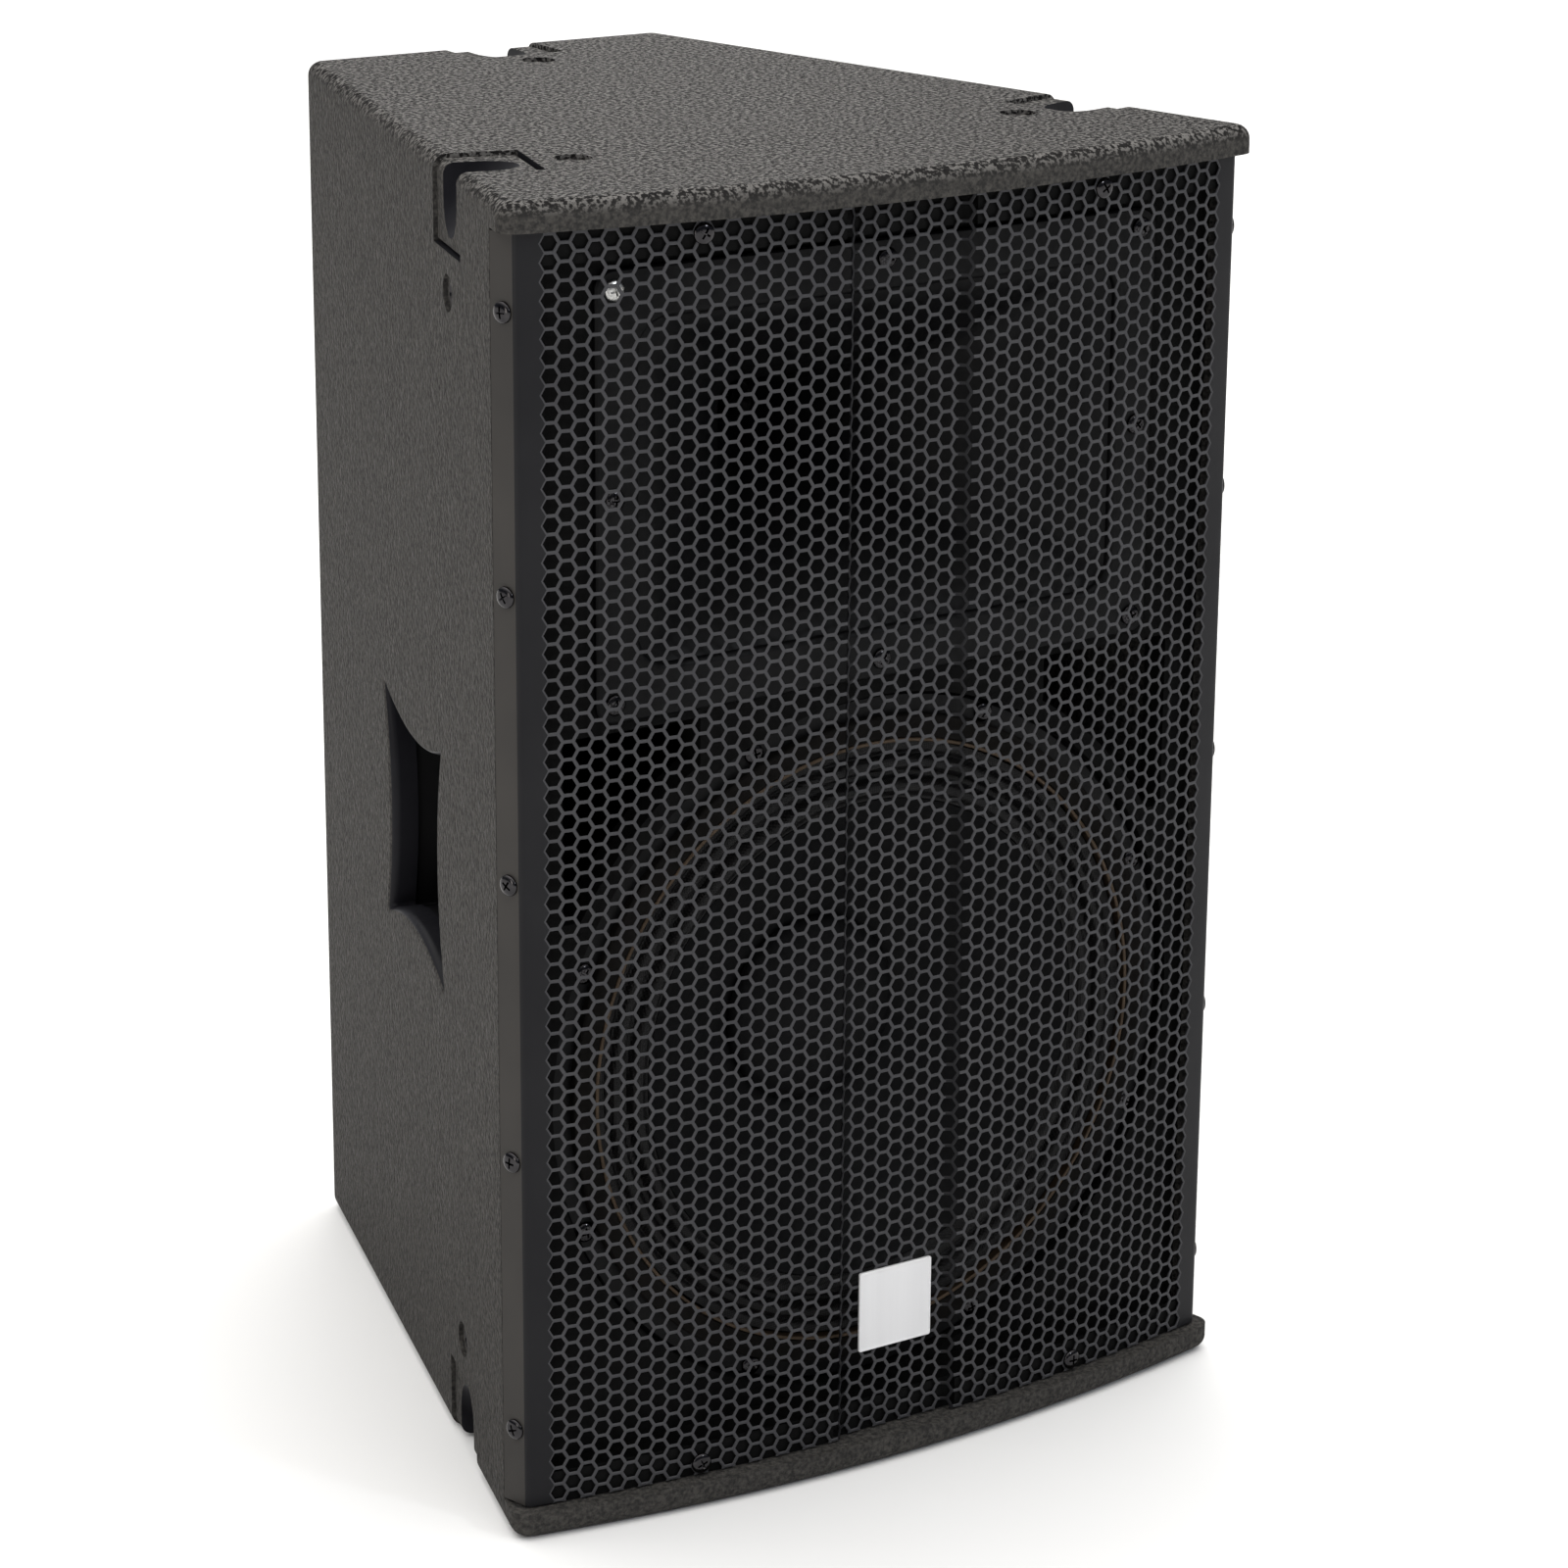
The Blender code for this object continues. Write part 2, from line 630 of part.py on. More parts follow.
def woofer_basket(metal):
    profile = [(0.166, -0.004), (WOOFER_RIM_R, -0.004), (WOOFER_RIM_R, 0.0), (0.1740, 0.0), (0.1725, 0.024),
               (0.092, 0.082), (0.090, 0.094), (0.043, 0.094), (0.043, 0.090), (0.0865, 0.090),
               (0.0865, 0.079), (0.166, 0.021)]
    basket = woofer_part("woofer_basket", profile, metal)
    windows = []
    for i in range(6):
        angle = math.radians(30 + 60 * i)
        turn = Matrix.Translation((0, woofer_depth(0), WOOFER_Z)) @ Matrix.Rotation(angle, 4, "Y")
        window = []
        for half, x in ((0.026, 0.095), (0.055, 0.185)):
            window.append([(x, 0.030, -half), (x, 0.072, -half), (x, 0.072, half), (x, 0.030, half)])
        windows.append(moved(solid(window), turn))
    return boolean(basket, joined(*windows))


def corrugated(start, end, depth, height, rolls, thickness, steps):
    """A closed profile of a corrugated ring between two radii."""
    front = []
    for i in range(steps + 1):
        t = i / steps
        radius = start + (end - start) * t
        front.append((radius, depth + height * math.sin(2 * math.pi * rolls * t)))
    return front + [(radius, y + thickness) for radius, y in reversed(front)]


def woofer_surround(cloth):
    return woofer_part("woofer_surround", corrugated(0.1335, 0.1645, -0.004, 0.0035, 1.5, 0.0010, 6), cloth)


def woofer_spider(cloth):
    return woofer_part("woofer_spider", corrugated(0.0395, 0.0855, 0.072, 0.0025, 1.5, 0.0010, 6), cloth)


def woofer_cone(paper):
    """The paper cone: slightly curved, from the surround in to the voice coil."""
    steps = 4
    front = []
    for i in range(steps + 1):
        t = i / steps
        front.append((0.1330 - 0.0935 * t, -0.003 + 0.064 * (t + 0.12 * t * (1 - t))))
    profile = front + [(radius, depth + 0.0018) for radius, depth in reversed(front)]
    return woofer_part("woofer_cone", profile, paper)


def woofer_dust_cap(paper):
    """A dome over the middle of the cone."""
    reach = 0.052
    rise = 0.016
    edge = 0.0525
    steps = 4
    turns = [math.pi / 2 * i / steps for i in range(steps + 1)]
    outer = [(reach * math.sin(turn), edge - 0.0006 - rise * math.cos(turn)) for turn in turns]
    outer[0] = (0, outer[0][1])
    inner = [(radius * 0.975, depth + 0.0008) for radius, depth in reversed(outer)]
    return woofer_part("woofer_dust_cap", outer + inner, paper, closed=False)


def woofer_motor(steel, ferrite, copper):
    coil = [(0.0368, 0.0625), (0.0375, 0.0625), (0.0375, 0.088), (0.0384, 0.088), (0.0384, 0.104),
            (0.0368, 0.104)]
    woofer_part("woofer_voice_coil", coil, copper)
    plate = [(0.0393, 0.0943), (0.075, 0.0943), (0.075, 0.102), (0.0393, 0.102)]
    woofer_part("woofer_top_plate", plate, steel)
    magnet = [(0.046, 0.1023), (0.078, 0.1023), (0.078, 0.122), (0.046, 0.122)]
    woofer_part("woofer_magnet", magnet, ferrite)
    yoke = [(0.012, 0.093), (0.0360, 0.093), (0.0360, 0.1223), (0.073, 0.1223), (0.073, 0.130),
            (0.012, 0.130)]
    woofer_part("woofer_back_plate", yoke, steel)


# ---- horn and high-frequency driver -------------------------------------------------------------
def horn(plastic):
    """A rectangular flare from the throat to the flange, as one moulding."""
    face = FRONT_Y + BAFFLE_DEPTH - GAP - 0.004
    throat = face + HORN_LENGTH
    wall = 0.004
    steps = 7

    def ring(half_x, half_z, radius, y):
        return [(x, y, HORN_Z + z) for x, z in rounded_rectangle(half_x, half_z, radius)]

    def flare(grow, t):
        wide = THROAT_R + (HORN_MOUTH[0] - THROAT_R) * (0.55 * t + 0.45 * t ** 3) + grow
        tall = THROAT_R + (HORN_MOUTH[1] - THROAT_R) * (0.45 * t + 0.55 * t ** 3) + grow
        radius = min(THROAT_R + 0.004 * t + grow, wide, tall)
        return ring(wide, tall, radius, face + HORN_LENGTH * (1 - t))

    outer_low = [flare(wall, i / steps) for i in range(0, steps)]
    back = face + 0.004
    collar = ring(HORN_MOUTH[0] + wall, HORN_MOUTH[1] + wall, THROAT_R + 0.008, back)
    rings = [ring(*HORN_FLANGE, 0.010, face)]
    rings += [flare(0.0, i / steps) for i in range(steps, -1, -1)]
    rings += [ring(0.036, 0.036, 0.0359, throat), ring(0.036, 0.036, 0.0359, throat - 0.006)]
    rings += [outer for outer in outer_low if outer[0][1] < throat - 0.007]
    rings += [collar, ring(*HORN_FLANGE, 0.010, back)]
    return add("horn", solid(rings, cyclic=True), plastic, smooth=35)


def hf_driver(steel, metal, film):
    start = FRONT_Y + BAFFLE_DEPTH - 0.004 + HORN_LENGTH

    def part(name, profile, made_of, closed=True):
        placed = [(radius, start + depth) for radius, depth in profile]
        return add(name, turned(placed, (0, HORN_Z), closed, 24), made_of, 35)

    magnet = [(THROAT_R, 0.0), (0.036, 0.0), (0.036, 0.006), (0.048, 0.006), (0.048, 0.034), (0.027, 0.034),
              (0.027, 0.030), (0.020, 0.030)]
    part("hf_driver_magnet", magnet, steel)
    dome = [(0.0185 * math.sin(math.pi / 2 * i / 3), 0.0400 - 0.0075 * math.cos(math.pi / 2 * i / 3))
            for i in range(4)]
    rim = [(0.0255, 0.0400), (0.0255, 0.0406)]
    under = [(radius * 0.97, depth + 0.0006) for radius, depth in reversed(dome)]
    part("hf_diaphragm", dome + rim + under, film, closed=False)
    cap = [(0.0290, 0.0343), (0.045, 0.0343), (0.045, 0.052), (0.040, 0.056), (0, 0.056)]
    inside = [(0, 0.052), (0.0290, 0.052)]
    part("hf_driver_cap", inside + cap, metal, closed=False)


# ---- crossover and rear connectors --------------------------------------------------------------
def crossover(board_stuff, copper, film):
    low = PLY + 0.005
    middle = (0.0, 0.110)
    half = (0.075, 0.045)
    near = (middle[0] - half[0], middle[1] - half[1], low)
    far = (middle[0] + half[0], middle[1] + half[1], low + 0.0016)
    board = block(near, far)
    made = add("crossover_board", board, board_stuff)
    feet = [cylinder((middle[0] + sx * 0.068, middle[1] + sy * 0.038, PLY + GAP),
                     (middle[0] + sx * 0.068, middle[1] + sy * 0.038, low + 0.001), 0.004, 12)
            for sx in (-1, 1) for sy in (-1, 1)]
    boolean(made, joined(*feet), "UNION")
    rest = low + 0.0016 + GAP
    ring = [(0.010, 0.0), (0.028, 0.0), (0.028, 0.022), (0.010, 0.022)]
    coil = turned(ring, (0, 0), steps=32)
    stand = Matrix.Translation((-0.038, middle[1], rest)) @ Matrix.Rotation(math.pi / 2, 4, "X")
    add("crossover_coil", moved(coil, stand), copper, smooth=35)
    radius = 0.011
    start = (0.010, middle[1] - 0.012, rest + radius)
    end = (0.060, middle[1] - 0.012, rest + radius)
    add("crossover_capacitor", cylinder(start, end, radius, 24), film, smooth=35)


def rear_ring(half_x, half_z, radius, inward, centre=(0.0, DISH_Z)):
    outline = rounded_rectangle(half_x, half_z, radius, 4)
    return [(centre[0] + x, REAR_Y - inward, centre[1] + z) for x, z in outline]


def connector_plate(steel):
    """A dished plate, sunk flush in the back, with a round hole for each socket."""
    wide, tall = DISH_OPENING
    wall = SHEET
    rings = [rear_ring(wide - 0.003, tall - 0.003, 0.007, DISH_DEPTH), rear_ring(wide, tall, 0.010, 0.0004),
             rear_ring(*DISH_FLANGE, 0.006, 0.0004), rear_ring(*DISH_FLANGE, 0.006, 0.0004 + wall),
             rear_ring(wide + wall, tall + wall, 0.0115, 0.0004 + wall),
             rear_ring(wide - 0.003 + wall, tall - 0.003 + wall, 0.0085, DISH_DEPTH + wall)]
    plate = add("connector_plate", solid(rings), steel)
    floor = REAR_Y - DISH_DEPTH
    holes = []
    for x in (-SOCKET_X, SOCKET_X):
        holes.append(cylinder((x, floor + 0.003, DISH_Z), (x, floor - 0.006, DISH_Z), 0.0123, 24))
    return boolean(plate, joined(*holes))


def speaker_socket(name, x, plastic):
    """A round speaker socket with a rectangular flange, open at the back of the cabinet."""
    centre = (x, DISH_Z)

    def ring(half_x, half_z, radius, inward):
        return rear_ring(half_x, half_z, radius, inward, centre)

    flange = DISH_DEPTH - GAP
    rings = [ring(0.0095, 0.0095, 0.0094, flange + 0.018), ring(0.0095, 0.0095, 0.0094, flange - 0.003),
             ring(0.013, 0.0155, 0.003, flange - 0.003), ring(0.013, 0.0155, 0.003, flange),
             ring(0.0118, 0.0118, 0.0117, flange), ring(0.0118, 0.0118, 0.0117, flange + 0.023)]
    return add(name, solid(rings), plastic, smooth=35)


# ---- assembly -----------------------------------------------------------------------------------
def main():
    for old in list(bpy.data.objects):
        bpy.data.objects.remove(old)

    wood = material("textured_paint", (0.035, 0.034, 0.034), 0.55)
    raw_wood = material("painted_board", (0.030, 0.030, 0.032), 0.65)
    powder = material("powder_coat", (0.030, 0.031, 0.034), 0.40, 0.2)
    light_metal = material("badge_metal", (0.62, 0.63, 0.65), 0.35, 0.9)
    black_screw = material("black_screw", (0.030, 0.030, 0.032), 0.30, 0.8)
    zinc = material("zinc_steel", (0.55, 0.55, 0.54), 0.40, 1.0)
    black_plastic = material("black_plastic", (0.022, 0.022, 0.024), 0.45)
    cast = material("cast_frame", (0.045, 0.045, 0.048), 0.50, 0.6)
    gasket_cork = material("gasket", (0.16, 0.14, 0.12), 0.80)
    cloth = material("surround_cloth", (0.025, 0.024, 0.026), 0.45)
    paper = material("cone_paper", (0.060, 0.060, 0.064), 0.75)
    ferrite = material("ferrite", (0.050, 0.050, 0.053), 0.60)
    copper = material("copper_wire", (0.60, 0.26, 0.12), 0.35, 1.0)
    titanium = material("titanium_film", (0.52, 0.50, 0.47), 0.30, 1.0)
    board_stuff = material("circuit_board", (0.20, 0.13, 0.06), 0.60)

    top = end_panel("top_panel", True, wood)
    bottom = end_panel("bottom_panel", False, wood)
    sides = {"left": side_panel("side_panel_left", -1, wood),
             "right": side_panel("side_panel_right", 1, wood)}
    back = rear_panel(wood)
    front_baffle(raw_wood)
    battens = {"bottom": grille_batten("grille_batten_bottom", PLY + GAP, raw_wood),
               "top": grille_batten("grille_batten_top", HEIGHT - PLY - GAP - BATTEN_HEIGHT, raw_wood)}

    sheet = grille(powder)
    places = screw_places()
    boolean(sheet, screw_holes(places))
    for word, panel in sides.items():
        boolean(panel, screw_holes([place for place in places if word in place[0]]))
    boolean(battens["bottom"], screw_holes([place for place in places if "front" in place[0]][:2]))
    boolean(battens["top"], screw_holes([place for place in places if "front" in place[0]][2:]))
    for name, seat, inward in places:
        screw(name, seat, inward, black_screw)
    badge(light_metal)

    upright = {"left": sides["left"], "right": sides["right"], "rear": back}
    for name, frame in rigging_frames():
        level, word = name.split("_")
        for cut in rigging_cuts(frame, False):
            boolean(top if level == "top" else bottom, cut)
        for cut in rigging_cuts(frame, True):
            boolean(upright[word], cut)
        rigging_plate(f"rigging_plate_{name}", frame, wood)
        rigging_bracket(f"rigging_bracket_{name}", frame, zinc)

    for side, word in ((-1, "left"), (1, "right")):
        window = solid([handle_ring(1.0, inward) for inward in (-0.005, PLY + 0.005)])
        boolean(sides[word], moved(window, side_frame(side)))
        handle_pocket(f"handle_pocket_{word}", side, black_plastic)

    woofer_basket(cast)
    gasket = [(0.1655, -0.0093), (0.1800, -0.0093), (0.1800, -0.0043), (0.1655, -0.0043)]
    woofer_part("woofer_gasket", gasket, gasket_cork)
    woofer_surround(cloth)
    woofer_cone(paper)
    woofer_dust_cap(paper)
    woofer_spider(cloth)
    woofer_motor(zinc, ferrite, copper)
    horn(black_plastic)
    hf_driver(ferrite, zinc, titanium)
    crossover(board_stuff, copper, light_metal)

    connector_plate(powder)
    slack = 0.0004
    recess = [rear_ring(DISH_FLANGE[0] + slack, DISH_FLANGE[1] + slack, 0.006, inward)
              for inward in (-0.004, SHEET + 0.0008)]
    boolean(back, solid(recess))
    opening = [rear_ring(DISH_OPENING[0] + 0.004, DISH_OPENING[1] + 0.004, 0.012, inward)
               for inward in (-0.004, PLY + 0.004)]
    boolean(back, solid(opening))
    for x, word in ((-SOCKET_X, "a"), (SOCKET_X, "b")):
        speaker_socket(f"speaker_socket_{word}", x, black_plastic)


main()
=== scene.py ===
"""Looks for a two-way PA loudspeaker: textured cabinet, perforated grille, woofer, horn and fittings."""
import json
import math

import bmesh
import bpy
import numpy as np
from mathutils import Matrix, Vector


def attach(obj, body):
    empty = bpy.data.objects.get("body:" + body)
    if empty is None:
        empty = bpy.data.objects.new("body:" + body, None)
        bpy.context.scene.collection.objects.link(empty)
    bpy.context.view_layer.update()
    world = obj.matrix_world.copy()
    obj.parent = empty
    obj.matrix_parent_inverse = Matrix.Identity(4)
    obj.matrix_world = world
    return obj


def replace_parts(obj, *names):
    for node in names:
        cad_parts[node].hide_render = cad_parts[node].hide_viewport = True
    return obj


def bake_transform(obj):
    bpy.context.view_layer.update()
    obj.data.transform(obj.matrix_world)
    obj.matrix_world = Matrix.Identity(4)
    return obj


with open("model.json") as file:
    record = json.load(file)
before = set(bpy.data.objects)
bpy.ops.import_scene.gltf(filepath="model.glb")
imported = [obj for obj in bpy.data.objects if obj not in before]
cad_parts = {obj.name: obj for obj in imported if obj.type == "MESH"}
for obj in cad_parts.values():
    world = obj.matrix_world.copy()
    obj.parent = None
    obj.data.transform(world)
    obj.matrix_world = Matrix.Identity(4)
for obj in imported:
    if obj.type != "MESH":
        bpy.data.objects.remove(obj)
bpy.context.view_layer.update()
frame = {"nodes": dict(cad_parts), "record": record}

# ---- sizes, as in the CAD ----
HEIGHT = 0.700
FRONT_WIDTH = 0.450
REAR_WIDTH = 0.228
SIDE_RUN = 0.436
BOW = 0.024
PLY = 0.015
EDGE_RADIUS = 0.008
PLAN_CORNER = 0.0095
FRONT_Y = -(SIDE_RUN + BOW) / 2 + BOW
REAR_Y = FRONT_Y + SIDE_RUN
TAPER = (FRONT_WIDTH - REAR_WIDTH) / 2 / SIDE_RUN
SLANT = math.atan(TAPER)
SIN_SLANT = math.sin(SLANT)
COS_SLANT = math.cos(SLANT)

SHEET = 0.0015
GRILLE_CLEARANCE = 0.0012
GRILLE_SET_BACK = 0.008
FLANGE_END = (0.0212, 0.0)
FLANGE_BEND = (0.0069, 0.0090)
CHANNEL_HALF = 0.031
CHANNEL_SLOPE = 0.006
CHANNEL_DEPTH = 0.005
HOLE_PITCH = 0.00925
HOLE_ACROSS = 0.0074
HOLE_SPACING = HOLE_PITCH * math.sqrt(3) / 2
HOLE_R = HOLE_ACROSS / math.sqrt(3)
CELL_R = HOLE_PITCH / math.sqrt(3)
HOLE_COLUMNS = 25
HOLE_PHASE = 0.0078
BADGE_SIZE = 0.0455
BADGE_HEIGHT = 0.0855

SCREW_HEAD_R = 0.0055
SCREW_HEAD_H = 0.0026
SIDE_SCREW_Z = [0.058 + 0.1485 * i for i in range(4)] + [0.645]
FRONT_SCREW_X = 0.119
FRONT_SCREW_IN = 0.0225

BAFFLE_FACE = FRONT_Y + 0.014
WOOFER_Z = 0.226
WOOFER_SEAT = BAFFLE_FACE + 0.010 - 0.0003
WOOFER_SCREW_R = 0.1855
HORN_Z = 0.545
HORN_FLANGE = (0.168, 0.115)
HORN_MOUTH = (0.143, 0.088)
HORN_LENGTH = 0.150
HORN_SCREW_X = 0.158
HORN_SCREW_RISE = 0.105
THROAT_R = 0.0127
HORN_FACE = BAFFLE_FACE - 0.0003 - 0.004

RIG_ALONG = 0.110
RIG_HALF = 0.0265
RIG_LEG = 0.042
RIG_RECESS = 0.002
RIG_PLATE = 0.003
NOTCH_R = 0.014
NOTCH_DEPTH = 0.0279
NOTCH_REACH = 0.0295
BRACKET_THICK = 0.004
BRACKET_LEG = 0.083
BRACKET_HALF = 0.020
BOLT_IN = 0.065
BOSS_R = 0.0092
THREAD_R = 0.00425

HANDLE_ALONG = 0.209
HANDLE_Z = 0.318
HANDLE_CORNER = 0.065
HANDLE_WAIST = 0.052
POCKET_DEPTH = 0.062

DISH_Z = 0.330
DISH_FLANGE = (0.080, 0.050)
DISH_OPENING = (0.068, 0.038)
DISH_DEPTH = 0.022
DISH_SCREW = (0.0740, 0.0440)
SOCKET_X = 0.032
SOCKET_SCREW = (0.01029, 0.0128)

EYE = (-1.1832, -1.9893, 1.0862)
EYE_TURNS = (32.079, 16.346, 0.430)
EYE_LENS = 99.92


# ---- mesh helpers ----
def new_object(name, bm, made_of=None):
    mesh = bpy.data.meshes.new(name)
    bm.to_mesh(mesh)
    bm.free()
    if made_of:
        mesh.materials.append(made_of)
    return linked(name, mesh)


def linked(name, data):
    thing = bpy.data.objects.new(name, data)
    bpy.context.collection.objects.link(thing)
    return thing


def shade(thing, angle):
    mesh = thing.data
    mesh.polygons.foreach_set("use_smooth", [True] * len(mesh.polygons))
    mesh.set_sharp_from_angle(angle=math.radians(angle))


def settle(thing):
    """Applies the modifiers on the mesh."""
    graph = bpy.context.evaluated_depsgraph_get()
    mesh = bpy.data.meshes.new_from_object(thing.evaluated_get(graph))
    old = thing.data
    thing.modifiers.clear()
    thing.data = mesh
    bpy.data.meshes.remove(old)


def weighted(thing, angle):
    """Smooth shading that keeps flat faces flat beside their rounded edges."""
    shade(thing, angle)
    modifier = thing.modifiers.new("normals", "WEIGHTED_NORMAL")
    modifier.keep_sharp = True
    modifier.weight = 100
    settle(thing)


def cut(thing, cutters, operation="DIFFERENCE"):
    """Cuts closed meshes out of the thing, one at a time, or joins them on."""
    for bm in cutters:
        tool = new_object("tool", bm)
        modifier = thing.modifiers.new("cut", "BOOLEAN")
        modifier.operation = operation
        modifier.solver = "EXACT"
        modifier.object = tool
        settle(thing)
        bpy.data.objects.remove(tool)


def solid(rings, cyclic=False):
    """A closed mesh through rings of points. A cyclic one runs back to its first ring and has no caps."""
    bm = bmesh.new()
    levels = [[bm.verts.new(point) for point in ring] for ring in rings]
    pairs = list(zip(levels, levels[1:]))
    if cyclic:
        pairs.append((levels[-1], levels[0]))
    for low, high in pairs:
        count = len(low)
        for i in range(count):
            j = (i + 1) % count
            bm.faces.new((low[i], low[j], high[j], high[i]))
    if not cyclic:
        bm.faces.new(list(reversed(levels[0])))
        bm.faces.new(levels[-1])
    bmesh.ops.recalc_face_normals(bm, faces=bm.faces)
    return bm


def prism(outline, low, high):
    return solid([[(x, y, z) for x, y in outline] for z in (low, high)])


def turned(profile, centre, closed=True, steps=96, start=0.0, sweep=360.0):
    """Turns (radius, y) points about an axis along Y through centre (x, z). A closed profile is a ring
    section; an open one starts and ends on the axis. Less than a full sweep gives a capped sector."""
    bm = bmesh.new()
    full = sweep >= 360.0
    count = steps if full else steps + 1
    turns = [math.radians(start + sweep * i / steps) for i in range(count)]
    rows = []
    for radius, y in profile:
        if radius < 1e-7:
            rows.append([bm.verts.new((centre[0], y, centre[1]))] * count)
        else:
            rows.append([bm.verts.new((centre[0] + radius * math.cos(a), y, centre[1] + radius * math.sin(a)))
                         for a in turns])
    pairs = list(zip(rows, rows[1:]))
    if closed:
        pairs.append((rows[-1], rows[0]))
    for low, high in pairs:
        for i in range(steps):
            j = (i + 1) % count
            corners = list(dict.fromkeys((low[i], low[j], high[j], high[i])))
            if len(corners) > 2:
                bm.faces.new(corners)
    if not full:
        bm.faces.new([row[0] for row in rows])
        bm.faces.new([row[-1] for row in reversed(rows)])
    bmesh.ops.recalc_face_normals(bm, faces=bm.faces)
    return bm


def cylinder(start, end, radius, steps=32):
    start = Vector(start)
    end = Vector(end)
    turn = (end - start).to_track_quat("Z", "Y").to_matrix()
    ring = [turn @ Vector((radius * math.cos(a), radius * math.sin(a), 0))
            for a in (2 * math.pi * i / steps for i in range(steps))]
    return solid([[base + point for point in ring] for base in (start, end)])


def moved(bm, matrix):
    bmesh.ops.transform(bm, matrix=matrix, verts=bm.verts)
    bmesh.ops.recalc_face_normals(bm, faces=bm.faces)
    return bm


def stand_in(piece, slot_name, *nodes):
    """Fixes a piece to the cabinet, in place of any CAD nodes."""
    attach(piece, "cabinet")
    if nodes:
        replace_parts(piece, *nodes)


def repaint(thing, matrix, index, chosen):
    """Gives a material to the faces whose centre, in the frame that matrix takes to the world, is chosen."""
    inverse = matrix.inverted()
    for face in thing.data.polygons:
        if chosen(inverse @ face.center):
            face.material_index = index


def arc(centre, radius, start, end, steps):
    points = []
    for i in range(steps + 1):
        angle = math.radians(start + (end - start) * i / steps)
        points.append((centre[0] + radius * math.cos(angle), centre[1] + radius * math.sin(angle)))
    return points


def quarter(steps):
    """Sines and cosines of even turns from 0 to 90 degrees."""
    turns = [math.pi / 2 * i / steps for i in range(steps + 1)]
    return [(math.sin(angle), math.cos(angle)) for angle in turns]


def rounded_rectangle(half_width, half_height, radius, steps=10):
    x = half_width - radius
    z = half_height - radius
    points = []
    for cx, cz, start in ((x, z, 0), (-x, z, 90), (-x, -z, 180), (x, -z, 270)):
        points += arc((cx, cz), radius, start, start + 90, steps)
    return points


def half_width(y):
    return FRONT_WIDTH / 2 - (y - FRONT_Y) * TAPER


def on_side(side, along, inward):
    """A point on the left (-1) or right (1) side: along it from the front corner, and in from its face."""
    x = FRONT_WIDTH / 2 - along * SIN_SLANT - inward * COS_SLANT
    return side * x, FRONT_Y + along * COS_SLANT - inward * SIN_SLANT


def frame_of(origin, first, second, third):
    axes = Matrix((first, second, third)).transposed().to_4x4()
    return Matrix.Translation(origin) @ axes


def side_frame(side):
    """Takes (along, inward, z) to world coordinates."""
    origin = Vector((side * FRONT_WIDTH / 2, FRONT_Y, 0))
    along = Vector((-side * SIN_SLANT, COS_SLANT, 0))
    inward = Vector((-side * COS_SLANT, -SIN_SLANT, 0))
    return frame_of(origin, along, inward, Vector((0, 0, 1)))


# ---- materials ----
class Nodes:
    """A Principled material and short calls that add nodes to it."""

    def __init__(self, name, colour, roughness, metallic=0.0, specular=0.5):
        self.material = bpy.data.materials.new(name)
        self.material.use_nodes = True
        self.tree = self.material.node_tree
        self.shader = self.tree.nodes["Principled BSDF"]
        self.shader.inputs["Base Color"].default_value = (*colour, 1)
        self.shader.inputs["Roughness"].default_value = roughness
        self.shader.inputs["Metallic"].default_value = metallic
        self.shader.inputs["Specular IOR Level"].default_value = specular
        self.place = self.tree.nodes.new("ShaderNodeTexCoord").outputs["Object"]

    def node(self, kind, inputs=None, **settings):
        made = self.tree.nodes.new(kind)
        for key, value in settings.items():
            setattr(made, key, value)
        for key, value in (inputs or {}).items():
            if isinstance(value, bpy.types.NodeSocket):
                self.tree.links.new(value, made.inputs[key])
            else:
                made.inputs[key].default_value = value
        return made

    def stretched(self, scale):
        return self.node("ShaderNodeMapping", {"Vector": self.place, "Scale": scale}).outputs["Vector"]

    def noise(self, scale, detail=3.0, roughness=0.5, vector=None):
        return self.node("ShaderNodeTexNoise", {"Vector": vector or self.place, "Scale": scale,
                                                "Detail": detail, "Roughness": roughness}).outputs["Fac"]

    def cells(self, scale, smooth):
        made = self.node("ShaderNodeTexVoronoi", {"Vector": self.place, "Scale": scale, "Smoothness": smooth},
                         feature="SMOOTH_F1")
        return made.outputs["Distance"]

    def ramp(self, value, low, high, to_low=0.0, to_high=1.0):
        return self.node("ShaderNodeMapRange", {"Value": value, "From Min": low, "From Max": high,
                                                "To Min": to_low, "To Max": to_high}).outputs["Result"]

    def maths(self, operation, a, b=0.0):
        made = self.node("ShaderNodeMath", {0: a, 1: b}, operation=operation)
        return made.outputs[0]

    def mix(self, factor, a, b):
        made = self.tree.nodes.new("ShaderNodeMix")
        made.data_type = "RGBA"
        for socket, value in ((made.inputs[0], factor), (made.inputs[6], a), (made.inputs[7], b)):
            if isinstance(value, bpy.types.NodeSocket):
                self.tree.links.new(value, socket)
            else:
                socket.default_value = value if isinstance(value, float) else (*value, 1)
        return made.outputs[2]

    def drift(self, scale, detail=3.0, low=0.0, high=1.0):
        """A slow change from low to high."""
        return self.ramp(self.noise(scale, detail, 0.6), 0.3, 0.7, low, high)

    def colour(self, value):
        self.tree.links.new(value, self.shader.inputs["Base Color"])

    def rough(self, value):
        self.tree.links.new(value, self.shader.inputs["Roughness"])

    def bump(self, height, strength, distance):
        previous = self.shader.inputs["Normal"].links
        made = self.node("ShaderNodeBump", {"Height": height, "Strength": strength, "Distance": distance})
        if previous:
            self.tree.links.new(previous[0].from_socket, made.inputs["Normal"])
        self.tree.links.new(made.outputs["Normal"], self.shader.inputs["Normal"])


